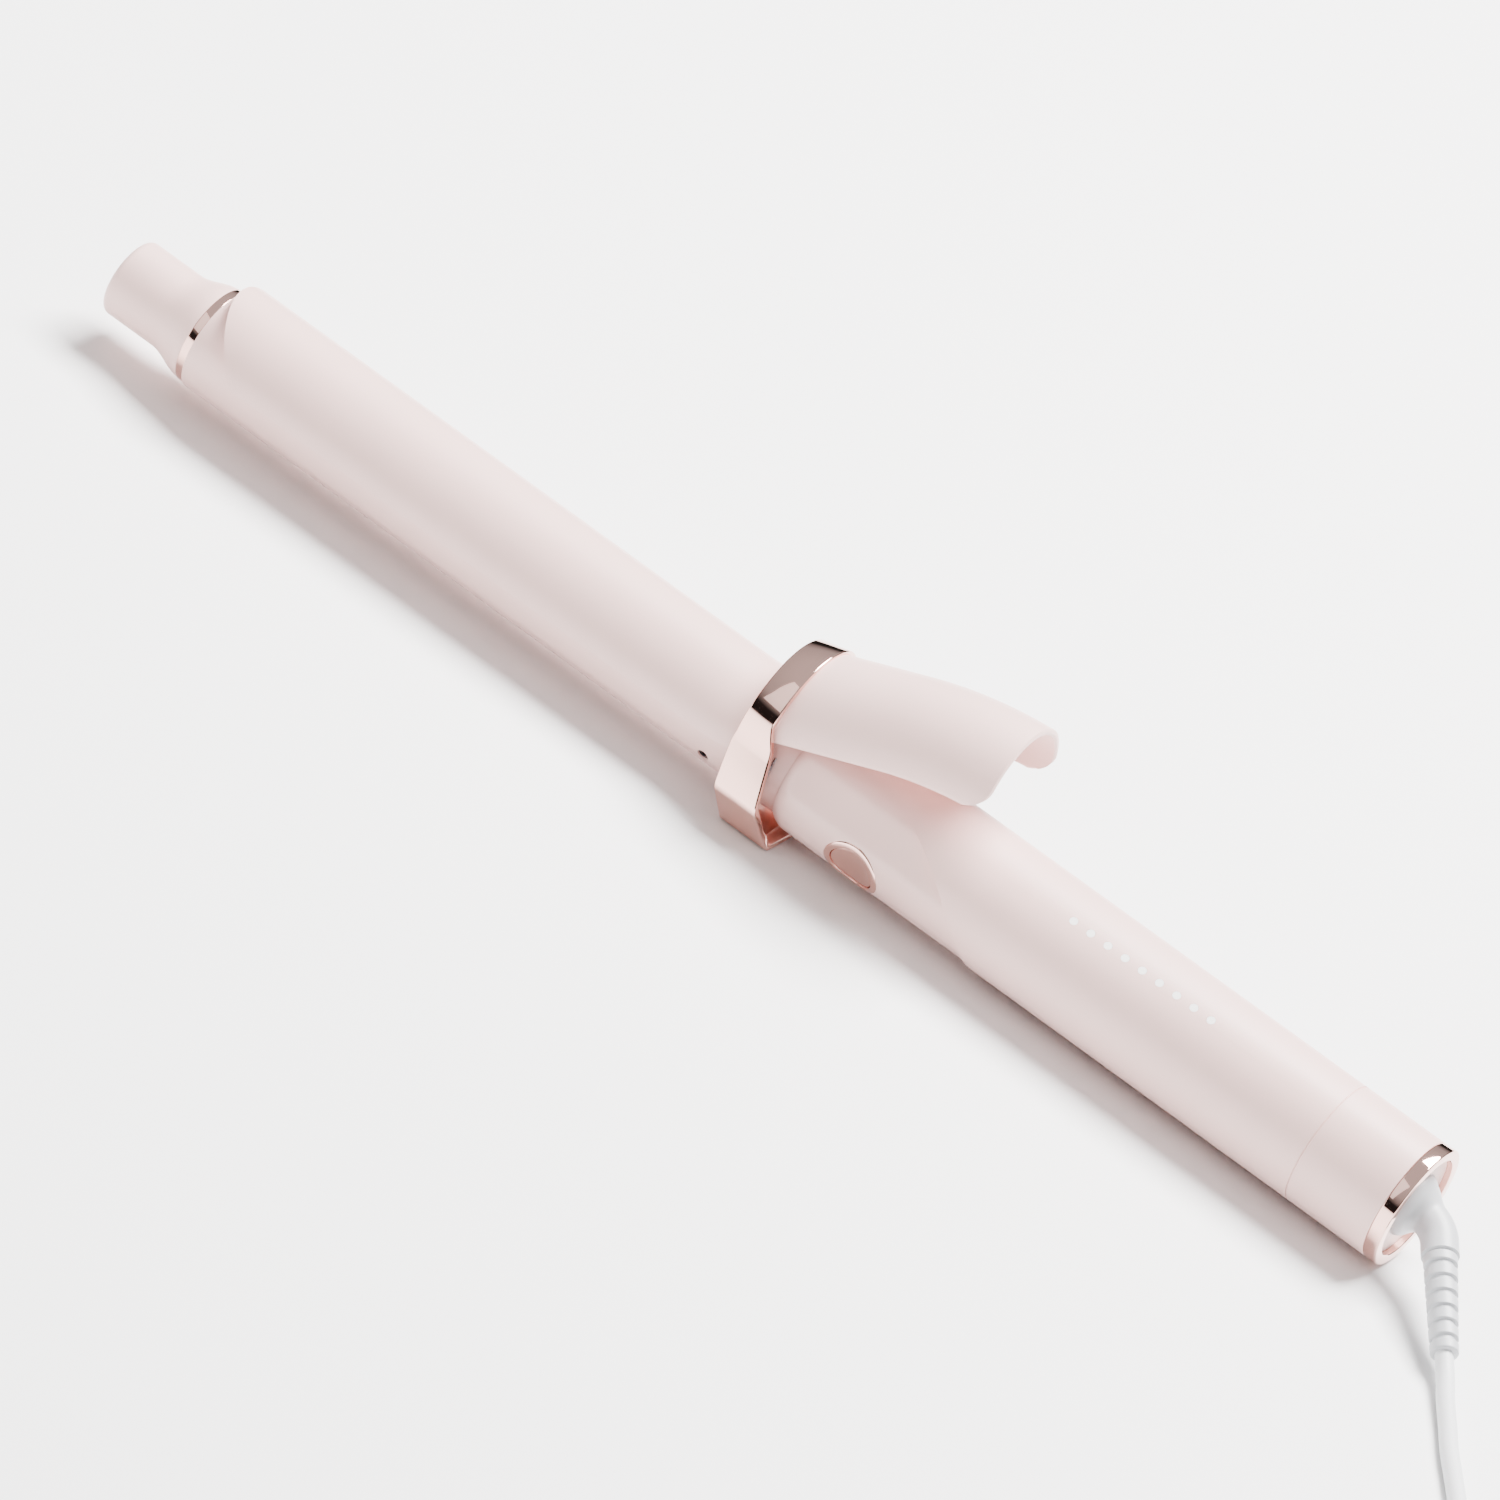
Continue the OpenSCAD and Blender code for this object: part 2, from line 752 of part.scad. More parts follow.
// Corner of an outline moved inwards by w, where the edges to its neighbours meet
function unit(v) = v / norm(v);
function inwards(a, b) = let (d = unit(b - a)) [d[1], -d[0]];
function inset(p, n1, n2, w) = p + w * (n1 + n2) / (1 + n1 * n2);
flank_in = inwards(collar_points[0], collar_points[1]);
chamfer_in = inwards(collar_points[1], collar_points[2]);
inner_points = [
    collar_points[0] + collar_wall * flank_in,
    inset(collar_points[1], flank_in, chamfer_in, collar_wall),
    inset(collar_points[2], chamfer_in, [0, 1], collar_wall)
];

module band_slab()
    upright(s_hinge) rotate([90, 0, 0])
        linear_extrude(height = 80, center = true) polygon(band_side);

module collar_ring() {
    color(ROSE) difference() {
        intersection() {
            collar_solid(arch_r, collar_points);
            band_slab();
        }
        collar_solid(arch_in_r, inner_points);
        for (side = [-1, 1]) upright(s_hinge) rotate([90 * side, 0, 0])
            cylinder(h = side_in + pin_bite, r = pin_r + RUN);
    }
}

module clamp_bracket() {
    color(PINK) difference() {
        intersection() {
            collar_solid(arch_in_r, inner_points);
            upright(s_hinge) translate([bracket_from, -50, bracket_low])
                cube([bracket_to - bracket_from, 100, 100]);
        }
        rod(s_hinge - 20, 40, bracket_clear_r);
    }
}

// Points of a wire wound round z with its two legs, both pointing up when it is placed
function wire_points() = concat(
    [[coil_r, spring_leg, 0]],
    [for (a = [0 : 20 : 360 * coil_turns]) [coil_r * cos(a), -coil_r * sin(a), wire_pitch * a / 360]],
    [[-coil_r, spring_leg, wire_pitch * coil_turns]]
);

module clamp_springs() {
    color("gray") for (side = [-1, 1])
        upright(s_hinge) mirror([0, side == 1 ? 0 : 1, 0]) rotate([90, 0, 0])
            translate([0, 0, barrel_r + 2 * wire_r]) swept(wire_points(), wire_r, 6);
}

module lever_arm() {
    color(PINK) difference() {
        upright(s_hinge + lever_from) translate([0, 0, lever_up]) rotate([0, -rise, 0])
            translate([-10, 0, 0]) half_run(rise_len + 10, lever_r, lever_r - lever_wall, lever_skirt);
        upright(s_hinge + bracket_to) translate([-100, -50, -50]) cube([100, 100, 150]);
    }
}

module thumb_rest() {
    color(PINK) intersection() {
        upright(s_hinge + thumb_at) translate([0, 0, thumb_up])
            half_bend_down(bend_r, rise, rise - bend_turn, lever_r, lever_r - lever_wall, lever_skirt);
        upright(s_hinge + lever_len) rotate([0, 0, 180]) translate([0, 0, -10])
            nosed_plan(thumb_round, lever_r + 0.01, lever_len + 5, thumb_power);
    }
}

// ---- cord ----
function tangent(p, i) = unit(p[min(i + 1, len(p) - 1)] - p[max(i - 1, 0)]);

// A tube of n sides along a list of points
module swept(p, r, n) {
    rings = len(p);
    points = [for (i = [0 : rings - 1]) let (
            t = tangent(p, i),
            ref = abs(t[2]) < 0.9 ? [0, 0, 1] : [1, 0, 0],
            a = unit(cross(t, ref)),
            b = cross(a, t))
        for (k = [0 : n - 1]) p[i] + r * (cos(360 * k / n) * a + sin(360 * k / n) * b)];
    sides = [for (i = [0 : rings - 2]) for (k = [0 : n - 1]) let (j = (k + 1) % n)
        each [[i * n + k, i * n + j, (i + 1) * n + j], [i * n + k, (i + 1) * n + j, (i + 1) * n + k]]];
    ends = [[for (k = [n - 1 : -1 : 0]) k], [for (k = [0 : n - 1]) (rings - 1) * n + k]];
    polyhedron(points, concat(sides, ends));
}

module cord_lead() {
    color(WHITE) swept(lead_route, cord_r, cord_sides);
}

module cord_tail() {
    color(WHITE) swept(tail_route, cord_r, cord_sides);
}

module cord_coil() {
    color(WHITE) translate([coil_at[0], coil_at[1], tie_t]) difference() {
        cylinder(h = coil_h, r = coil_mean_r + coil_half_w);
        translate([0, 0, -EPS]) cylinder(h = coil_h + 2 * EPS, r = coil_mean_r - coil_half_w);
    }
}

module cord_tie() {
    color(WHITE) translate([coil_at[0], coil_at[1], 0]) rotate([0, 0, tie_angle])
        difference() {
            translate([coil_mean_r - coil_half_w - tie_t, -tie_w / 2, 0])
                cube([2 * coil_half_w + 2 * tie_t, tie_w, coil_h + 2 * tie_t]);
            translate([0, 0, tie_t]) difference() {
                cylinder(h = coil_h, r = coil_mean_r + coil_half_w);
                translate([0, 0, -EPS]) cylinder(h = coil_h + 2 * EPS, r = coil_mean_r - coil_half_w);
            }
        }
}

module plug_frame() translate(plug_at) rotate([0, 0, plug_turn]) children();

module plug_body() {
    color(WHITE) plug_frame() {
        rotate([0, 90, 0]) cylinder(h = plug_neck_len, r1 = 3.4, r2 = 5.5);
        translate([plug_neck_len, 0, 0]) rotate([90, 0, 90]) linear_extrude(height = plug_len)
            rounded_box(plug_w, plug_h, 5);
    }
}

// Rectangle with round corners
module rounded_box(w, h, r) {
    square([w - 2 * r, h], center = true);
    square([w, h - 2 * r], center = true);
    for (x = [-1, 1]) for (y = [-1, 1])
        translate([x * (w / 2 - r), y * (h / 2 - r)]) circle(r = r, $fn = 32);
}

module plug_blades() {
    color("gold") plug_frame() for (y = [-1, 1])
        translate([plug_neck_len + plug_len, y * blade_gap / 2 - blade_t / 2, -blade_w / 2])
            cube([blade_len, blade_t, blade_w]);
}

cool_tip();
tip_ring();
tip_plate();
tip_screw();
barrel_tube();
heater_core();
electrode_plates();
heater_carriers();
temperature_sensor();
heater_leads();
mica_disc();
barrel_screw();
pivot_bosses();
hinge_pins();
handle_neck();
handle_shell();
rear_sleeve();
end_ring();
rear_cap();
inner_frame();
circuit_board();
board_components();
board_screws();
button_bezel();
tact_switch();
switch_board();
light_guide();
light_strip();
contact_block();
swivel_contacts();
supply_leads();
clamp_plate();
clamp_bracket();
clamp_springs();
collar_ring();
lever_arm();
thumb_rest();
power_button();
swivel_core();
strain_relief();
cord_lead();
cord_coil();
cord_tail();
cord_tie();
plug_body();
plug_blades();
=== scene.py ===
"""Looks of the curling iron: finishes, smooth pieces, cord, floor, light and camera."""

from __future__ import annotations

import json
import logging
import math
from collections.abc import Sequence
from dataclasses import dataclass, field
from enum import Enum

import bmesh
import bpy
from mathutils import Matrix, Vector

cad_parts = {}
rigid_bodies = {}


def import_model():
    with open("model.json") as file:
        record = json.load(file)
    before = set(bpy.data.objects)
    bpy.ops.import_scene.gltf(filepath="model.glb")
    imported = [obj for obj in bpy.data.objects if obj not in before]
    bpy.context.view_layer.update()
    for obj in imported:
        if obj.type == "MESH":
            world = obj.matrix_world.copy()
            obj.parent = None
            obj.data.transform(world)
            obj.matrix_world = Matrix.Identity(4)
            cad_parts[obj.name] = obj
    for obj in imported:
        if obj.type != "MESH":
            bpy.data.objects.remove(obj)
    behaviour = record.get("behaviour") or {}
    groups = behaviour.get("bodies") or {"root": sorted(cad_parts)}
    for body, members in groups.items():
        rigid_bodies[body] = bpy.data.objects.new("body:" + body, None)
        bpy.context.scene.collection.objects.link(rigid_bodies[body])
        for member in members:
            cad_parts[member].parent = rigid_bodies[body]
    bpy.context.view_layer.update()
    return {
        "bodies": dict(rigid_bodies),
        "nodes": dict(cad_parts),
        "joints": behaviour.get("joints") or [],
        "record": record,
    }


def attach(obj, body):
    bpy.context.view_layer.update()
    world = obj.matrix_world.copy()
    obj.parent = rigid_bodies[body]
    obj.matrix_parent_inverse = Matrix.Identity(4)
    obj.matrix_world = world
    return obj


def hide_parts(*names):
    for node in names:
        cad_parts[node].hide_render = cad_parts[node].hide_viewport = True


logging.basicConfig(level=logging.INFO, format="%(levelname)s %(message)s")
LOG = logging.getLogger("curling_iron")

MM = 0.001
MIDDLE = 185.5
AXIS_HEIGHT = 16.5
FINE_SHARE = 0.25
BUMP_STRENGTH = 0.35

Colour = tuple[float, float, float]
Ring = list[Vector]


class Body(Enum):
    """Moving bodies of the iron."""

    HOUSING = "housing"
    CLAMP = "clamp"
    BUTTON = "button"
    SWIVEL = "swivel"


class Ends(Enum):
    """How a skin's first and last sections end."""

    CAPPED = "capped"
    JOINED = "joined"


class Grain(Enum):
    """How a finish's fine texture is stretched along the iron."""

    MOULDED = (1.0, 1.0, 1.0)
    DRAWN = (0.06, 1.0, 1.0)
    TURNED = (1.0, 0.12, 0.12)


def at(station: float, side: float = 0.0, up: float = 0.0) -> Vector:
    """Place of a point given by its station along the iron.

    Args:
        station: Millimetres from the tip's end.
        side: Millimetres to the far side.
        up: Millimetres above the barrel's axis.

    Returns:
        The point in the row frame, in metres.
    """
    return Vector((station - MIDDLE, side, up + AXIS_HEIGHT)) * MM


# ---------------------------------------------------------------- finishes


@dataclass(frozen=True)
class Finish:
    """A surface finish made of procedural nodes."""

    colour: Colour
    roughness: float
    metallic: float = 0.0
    coat: float = 0.0
    coat_roughness: float = 0.08
    sheen: float = 0.0
    specular: float = 0.5
    grain: float = 1800.0
    grain_kind: Grain = Grain.MOULDED
    relief: float = 0.00001
    tint: float = 0.04
    gloss_spread: float = 0.05
    cloud: float = 30.0
    glow: float = 0.0

    def dress(self, name: str) -> bpy.types.Material:
        """Builds the material.

        Args:
            name: Name of the material.

        Returns:
            The finished material.
        """
        material = bpy.data.materials.new(name)
        material.use_nodes = True
        tree = material.node_tree
        shader = tree.nodes["Principled BSDF"]
        shader.inputs["Metallic"].default_value = self.metallic
        shader.inputs["Coat Weight"].default_value = self.coat
        shader.inputs["Coat Roughness"].default_value = self.coat_roughness
        shader.inputs["Sheen Weight"].default_value = self.sheen
        shader.inputs["Specular IOR Level"].default_value = self.specular
        if self.glow:
            shader.inputs["Emission Color"].default_value = (*self.colour, 1.0)
            shader.inputs["Emission Strength"].default_value = self.glow
        fine = self._noise(tree, self.grain, 3.0, self.grain_kind)
        broad = self._noise(tree, self.cloud, 2.0, Grain.MOULDED)
        self._colour(tree, shader, broad, fine)
        self._gloss(tree, shader, broad, fine)
        self._surface(tree, shader, fine)
        return material

    @staticmethod
    def _noise(
        tree: bpy.types.NodeTree, scale: float, detail: float, kind: Grain
    ) -> bpy.types.NodeSocket:
        """Adds a noise texture in the row frame.

        Args:
            tree: Node tree of the material.
            scale: Noise cells per metre.
            detail: Octaves of the noise.
            kind: How the cells are stretched.

        Returns:
            The noise's value socket.
        """
        place = tree.nodes.new("ShaderNodeTexCoord")
        stretch = tree.nodes.new("ShaderNodeMapping")
        stretch.inputs["Scale"].default_value = kind.value
        noise = tree.nodes.new("ShaderNodeTexNoise")
        noise.inputs["Scale"].default_value = scale
        noise.inputs["Detail"].default_value = detail
        tree.links.new(place.outputs["Object"], stretch.inputs["Vector"])
        tree.links.new(stretch.outputs["Vector"], noise.inputs["Vector"])
        return noise.outputs["Fac"]

    def _colour(
        self,
        tree: bpy.types.NodeTree,
        shader: bpy.types.ShaderNode,
        broad: bpy.types.NodeSocket,
        fine: bpy.types.NodeSocket,
    ) -> None:
        """Links slightly uneven pigment to the base colour.

        Args:
            tree: Node tree of the material.
            shader: The finish's shader.
            broad: Value of the broad noise.
            fine: Value of the fine noise.
        """
        blend = tree.nodes.new("ShaderNodeMath")
        blend.operation = "MULTIPLY_ADD"
        blend.inputs[1].default_value = FINE_SHARE
        tree.links.new(fine, blend.inputs[0])
        tree.links.new(broad, blend.inputs[2])
        ramp = tree.nodes.new("ShaderNodeValToRGB")
        low, high = 1.0 - self.tint, 1.0 + self.tint
        for stop, position, level in zip(ramp.color_ramp.elements, (0.35, 0.9), (low, high)):
            stop.position = position
            stop.color = (*[min(1.0, c * level) for c in self.colour], 1.0)
        tree.links.new(blend.outputs["Value"], ramp.inputs["Fac"])
        tree.links.new(ramp.outputs["Color"], shader.inputs["Base Color"])

    def _gloss(
        self,
        tree: bpy.types.NodeTree,
        shader: bpy.types.ShaderNode,
        broad: bpy.types.NodeSocket,
        fine: bpy.types.NodeSocket,
    ) -> None:
        """Links handling marks and fine grain to the roughness.

        Args:
            tree: Node tree of the material.
            shader: The finish's shader.
            broad: Value of the broad noise.
            fine: Value of the fine noise.
        """
        blend = tree.nodes.new("ShaderNodeMath")
        blend.operation = "ADD"
        tree.links.new(fine, blend.inputs[0])
        tree.links.new(broad, blend.inputs[1])
        spread = tree.nodes.new("ShaderNodeMapRange")
        spread.inputs["From Min"].default_value = 0.6
        spread.inputs["From Max"].default_value = 1.4
        spread.inputs["To Min"].default_value = max(0.02, self.roughness - self.gloss_spread)
        spread.inputs["To Max"].default_value = min(1.0, self.roughness + self.gloss_spread)
        tree.links.new(blend.outputs["Value"], spread.inputs["Value"])
        tree.links.new(spread.outputs["Result"], shader.inputs["Roughness"])

    def _surface(
        self,
        tree: bpy.types.NodeTree,
        shader: bpy.types.ShaderNode,
        fine: bpy.types.NodeSocket,
    ) -> None:
        """Links the grain to a shallow bump.

        Args:
            tree: Node tree of the material.
            shader: The finish's shader.
            fine: Value of the fine noise.
        """
        bump = tree.nodes.new("ShaderNodeBump")
        bump.inputs["Strength"].default_value = BUMP_STRENGTH
        bump.inputs["Distance"].default_value = self.relief
        tree.links.new(fine, bump.inputs["Height"])
        tree.links.new(bump.outputs["Normal"], shader.inputs["Normal"])


PINK: Colour = (0.85, 0.575, 0.535)
FINISHES: dict[str, Finish] = {
    "pink_plastic": Finish(PINK, 0.42, coat=0.12, coat_roughness=0.25, sheen=0.08, tint=0.015),
    "pink_coating": Finish(PINK, 0.36, coat=0.2, coat_roughness=0.22, tint=0.015, grain=2600.0),
    "rose_gold": Finish(
        (0.86, 0.54, 0.47), 0.07, 1.0, gloss_spread=0.03, relief=0.000001, tint=0.02
    ),
    "steel": Finish((0.58, 0.58, 0.6), 0.26, 1.0, grain_kind=Grain.TURNED),
    "dark_steel": Finish((0.09, 0.08, 0.08), 0.34, 1.0, grain_kind=Grain.TURNED),
    "brass": Finish((0.78, 0.6, 0.3), 0.24, 1.0, grain_kind=Grain.DRAWN),
    "aluminium": Finish((0.74, 0.75, 0.77), 0.32, 1.0, grain_kind=Grain.DRAWN),
    "ceramic": Finish((0.52, 0.47, 0.42), 0.6, tint=0.1, relief=0.00003),
    "inner_plastic": Finish((0.82, 0.82, 0.8), 0.5, tint=0.03),
    "circuit_board": Finish((0.03, 0.25, 0.1), 0.3, coat=0.4, tint=0.15, grain=900.0),
    "black_plastic": Finish((0.02, 0.02, 0.022), 0.45, tint=0.2),
    "light_guide": Finish((0.95, 0.95, 0.93), 0.25, coat=0.3, glow=0.35),
    "light_strip": Finish((0.9, 0.88, 0.78), 0.4),
    "white_wire": Finish((0.8, 0.79, 0.76), 0.45, tint=0.06),
    "white_plastic": Finish((0.8, 0.8, 0.82), 0.3, coat=0.2),
    "white_rubber": Finish((0.49, 0.5, 0.52), 0.42, coat=0.1, coat_roughness=0.3, tint=0.02),
    "white_cord": Finish((0.7, 0.705, 0.72), 0.5, coat=0.08, tint=0.02, grain=2200.0),
    "tie": Finish((0.6, 0.6, 0.62), 0.55, tint=0.06),
}


@dataclass
class Wardrobe:
    """Keeps one material for each finish."""

    made: dict[str, bpy.types.Material] = field(default_factory=dict)

    def get(self, slot: str) -> bpy.types.Material:
        """Finds or builds a finish.

        Args:
            slot: Name of the material slot.

        Returns:
            The slot's material.
        """
        if slot not in self.made:
            self.made[slot] = FINISHES[slot].dress(slot)
        return self.made[slot]


# ---------------------------------------------------------------- mesh tools


def loft(name: str, rings: Sequence[Ring], ends: Ends = Ends.CAPPED) -> bpy.types.Object:
    """Joins rings of equal count into one closed skin.

    Args:
        name: Name of the new object.
        rings: Rings in order, each a closed loop of points.
        ends: Whether the end rings get caps or join each other.

    Returns:
        The new object.
    """
    mesh = bpy.data.meshes.new(name)
    work = bmesh.new()
    loops = [[work.verts.new(p) for p in ring] for ring in rings]
    count = len(rings[0])
    followers = loops[1:] + (loops[:1] if ends is Ends.JOINED else [])
    for low, high in zip(loops, followers):
        for i in range(count):
            j = (i + 1) % count
            work.faces.new((low[i], low[j], high[j], high[i]))
    if ends is Ends.CAPPED:
        work.faces.new(loops[0][::-1])
        work.faces.new(loops[-1])
    bmesh.ops.recalc_face_normals(work, faces=work.faces)
    work.to_mesh(mesh)
    work.free()
    piece = bpy.data.objects.new(name, mesh)
    bpy.context.scene.collection.objects.link(piece)
    return piece


def smooth(piece: bpy.types.Object, angle: float = 40.0) -> None:
    """Shades a mesh smooth and keeps edges sharper than an angle.

    Args:
        piece: The mesh object.
        angle: Sharpness limit in degrees.
    """
    mesh = piece.data
    mesh.polygons.foreach_set("use_smooth", [True] * len(mesh.polygons))
    work = bmesh.new()
    work.from_mesh(mesh)
    limit = math.radians(angle)
    for edge in work.edges:
        if len(edge.link_faces) == 2 and edge.calc_face_angle(0.0) > limit:
            edge.smooth = False
    work.to_mesh(mesh)
    work.free()


def cut_behind(piece: bpy.types.Object, point: Vector, normal: Vector) -> None:
    """Cuts away the part of a mesh on a plane's positive side and closes the cut.

    Args:
        piece: The mesh object.
        point: A point of the plane.
        normal: Normal of the plane.
    """
    work = bmesh.new()
    work.from_mesh(piece.data)
    cut = bmesh.ops.bisect_plane(
        work,
        geom=[*work.verts, *work.edges, *work.faces],
        plane_co=point,
        plane_no=normal,
        clear_outer=True,
    )
    edges = [e for e in cut["geom_cut"] if isinstance(e, bmesh.types.BMEdge)]
    if edges:
        bmesh.ops.edgeloop_fill(work, edges=edges)
    work.to_mesh(piece.data)
    work.free()


def catmull(points: Sequence[Vector], steps: int) -> list[Vector]:
    """Runs a smooth line through points.

    Args:
        points: The points that the line passes.
        steps: Pieces between two points.

    Returns:
        Points of the smooth line.
    """
    padded = [2 * points[0] - points[1], *points, 2 * points[-1] - points[-2]]
    line: list[Vector] = []
    for a, b, c, d in zip(padded, padded[1:], padded[2:], padded[3:]):
        for k in range(steps):
            t = k / steps
            line.append(
                0.5 * (2 * b + (c - a) * t + (2 * a - 5 * b + 4 * c - d) * t**2
                       + (3 * b - a - 3 * c + d) * t**3)
            )
    return [*line, points[-1].copy()]


@dataclass
class Workshop:
    """Puts finished pieces on their bodies and reports them."""

    wardrobe: Wardrobe

    def settle(
        self, piece: bpy.types.Object, slot: str, body: Body, nodes: Sequence[str]
    ) -> bpy.types.Object:
        """Dresses a piece, ties it to its body and hides what it stands for.

        Args:
            piece: The new object.
            slot: Material slot of its finish.
            body: Body that it rides on.
            nodes: CAD nodes that it replaces.

        Returns:
            The same object.
        """
        piece.data.materials.clear()
        piece.data.materials.append(self.wardrobe.get(slot))
        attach(piece, body.value)
        if nodes:
            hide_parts(*nodes)
        LOG.info("%s on %s in %s", piece.name, body.value, slot)
        return piece


# ---------------------------------------------------------------- clamp


@dataclass
class HalfShell:
    """A curved shell with rounded long edges, swept along a line in the iron's mid plane."""

    outer: float
    wall: float
    arc_steps: int = 40
    edge_steps: int = 5

    def section(
        self, centre: Vector, slope: float, half_angle: float, skirt: float
    ) -> Ring:
        """One ring of the shell.

        Args:
            centre: Station, side and height of the centre line.
            slope: Slope of the line in radians.
            half_angle: Half of the shell's angle in radians.
            skirt: Straight run below the centre line.

        Returns:
            The ring's points in the row frame.
        """
        profile: list[tuple[float, float]] = []
        for turn, radius in ((1, self.outer), (-1, self.outer - self.wall)):
            for i in range(self.arc_steps + 1):
                angle = turn * (2 * half_angle * i / self.arc_steps - half_angle)
                profile.append(self._place(radius, angle))
            profile += self._edge(turn * half_angle, skirt, turn)
        up = (-math.sin(slope), math.cos(slope))
        return [
            at(centre.x + u * up[0], centre.y + v, centre.z + u * up[1])
            for v, u in profile
        ]

    @staticmethod
    def _place(radius: float, angle: float) -> tuple[float, float]:
        """Side and height of a point given by its radius and its angle from up."""
        return (radius * math.sin(angle), radius * math.cos(angle))

    def _edge(self, angle: float, skirt: float, turn: int) -> list[tuple[float, float]]:
        """Rounds one long edge of the shell.

        Args:
            angle: Angle of this edge, in radians.
            skirt: Straight run below the centre line.
            turn: 1 at the far edge and -1 at the near edge.

        Returns:
            Points round the edge, from face to face.
        """
        half = self.wall / 2
        root = self._place(self.outer - half, angle)
        out = self._place(1.0, angle)
        down = (turn * out[1], -turn * out[0])
        points = []
        for k in range(1, self.edge_steps + 1):
            b = math.pi * k / (self.edge_steps + 1)
            c = half * math.cos(b) * turn
            d = skirt + (half * math.sin(b) - half)
            points.append((root[0] + out[0] * c + down[0] * d, root[1] + out[1] * c + down[1] * d))
        return points


@dataclass
class ClampPlate:
    """The long spring clamp with its rounded nose and the rise into the collar."""

    start: float = 28.0
    bend_at: float = 178.0
    bend_radius: float = 40.0
    turn: float = 20.0
    nose: float = 13.0
    nose_angles: tuple[int, ...] = (5, 9, 14, 20, 27, 35, 44, 54, 64, 74, 83, 90)
    straight_steps: int = 30
    bend_steps: int = 16
    overrun: float = 6.0
    end: float = 188.0
    shell: HalfShell = field(default_factory=lambda: HalfShell(15.3, 1.8))

    def build(self, shop: Workshop) -> bpy.types.Object:
        """Builds the plate.

        Args:
            shop: Workshop that settles it.

        Returns:
            The plate.
        """
        rings: list[Ring] = []
        for degrees in self.nose_angles:
            angle = math.radians(degrees)
            x = self.start + self.nose * (1 - math.cos(angle))
            rings.append(self.shell.section(Vector((x, 0, 0)), 0.0, angle, 0.0))
        begin = self.start + self.nose
        for k in range(1, self.straight_steps + 1):
            x = begin + (self.bend_at - begin) * k / self.straight_steps
            rings.append(self.shell.section(Vector((x, 0, 0)), 0.0, math.pi / 2, 0.0))
        x, z, slope = self.bend_at, 0.0, 0.0
        for k in range(1, self.bend_steps + 1):
            slope = math.radians(self.turn) * k / self.bend_steps
            x = self.bend_at + self.bend_radius * math.sin(slope)
            z = self.bend_radius * (1 - math.cos(slope))
            rings.append(self.shell.section(Vector((x, 0, z)), slope, math.pi / 2, 0.0))
        last = Vector((x + self.overrun, 0, z + self.overrun * math.tan(slope)))
        rings.append(self.shell.section(last, slope, math.pi / 2, 0.0))
        plate = loft("clamp_plate_skin", rings)
        cut_behind(plate, at(self.end), Vector((1, 0, 0)))
        smooth(plate, 50)
        return shop.settle(plate, "pink_coating", Body.CLAMP, ["clamp_plate"])


@dataclass
class ThumbLever:
    """The lever: a straight rise, then a thumb rest with a rounded end."""

    root: float = 195.5
    height: float = 10.4
    slope: float = 21.6
    straight: float = 25.3
    bend_radius: float = 93.0
    reach: float = 245.5
    round_depth: float = 5.0
    skirt: float = 1.2
    front: float = 194.0
    lead_in: float = 9.0
    step: float = 1.5
    end_steps: int = 14
    shell: HalfShell = field(default_factory=lambda: HalfShell(16.2, 1.6))

    def _line(self, length: float) -> tuple[Vector, float]:
        """Point and slope of the lever's line.

        Args:
            length: Distance along the line from its root.

        Returns:
            The point, and the slope in radians.
        """
        slope = math.radians(self.slope)
        reached = min(length, self.straight)
        corner = Vector((
            self.root + reached * math.cos(slope), 0, self.height + reached * math.sin(slope)
        ))
        if length <= self.straight:
            return corner, slope
        centre = corner + self.bend_radius * Vector((math.sin(slope), 0, -math.cos(slope)))
        now = slope - (length - self.straight) / self.bend_radius
        return centre + self.bend_radius * Vector((-math.sin(now), 0, math.cos(now))), now

    def build(self, shop: Workshop) -> bpy.types.Object:
        """Builds the lever.

        Args:
            shop: Workshop that settles it.

        Returns:
            The lever.
        """
        rings: list[Ring] = []
        length = -self.lead_in
        point, slope = self._line(length)
        while point.x < self.reach - self.round_depth:
            rings.append(self.shell.section(point, slope, math.pi / 2, self.skirt))
            length += self.step
            point, slope = self._line(length)
        base = length - self.step / 2
        left = self.reach - self._line(base)[0].x
        half_angle = math.pi / 2
        for k in range(self.end_steps + 1):
            turn = math.pi / 2 * k / self.end_steps
            point, slope = self._line(base + left * math.sin(turn))
            pull = self.round_depth * (1 - math.cos(turn)) + self.skirt * math.sin(turn)
            half_angle = math.pi / 2 - max(0.0, pull - self.skirt) / self.shell.outer
            rings.append(
                self.shell.section(point, slope, half_angle, max(0.0, self.skirt - pull))
            )
        for shrink in (0.25, 0.5):
            thin = HalfShell(self.shell.outer - shrink, self.shell.wall - 2 * shrink)
            point, slope = self._line(base + left + 0.45 * shrink)
            rings.append(thin.section(point, slope, half_angle, 0.0))
        lever = loft("thumb_lever_skin", rings)
        cut_behind(lever, at(self.front), Vector((-1, 0, 0)))
        smooth(lever, 50)
        return shop.settle(lever, "pink_plastic", Body.CLAMP, ["lever_arm", "thumb_rest"])


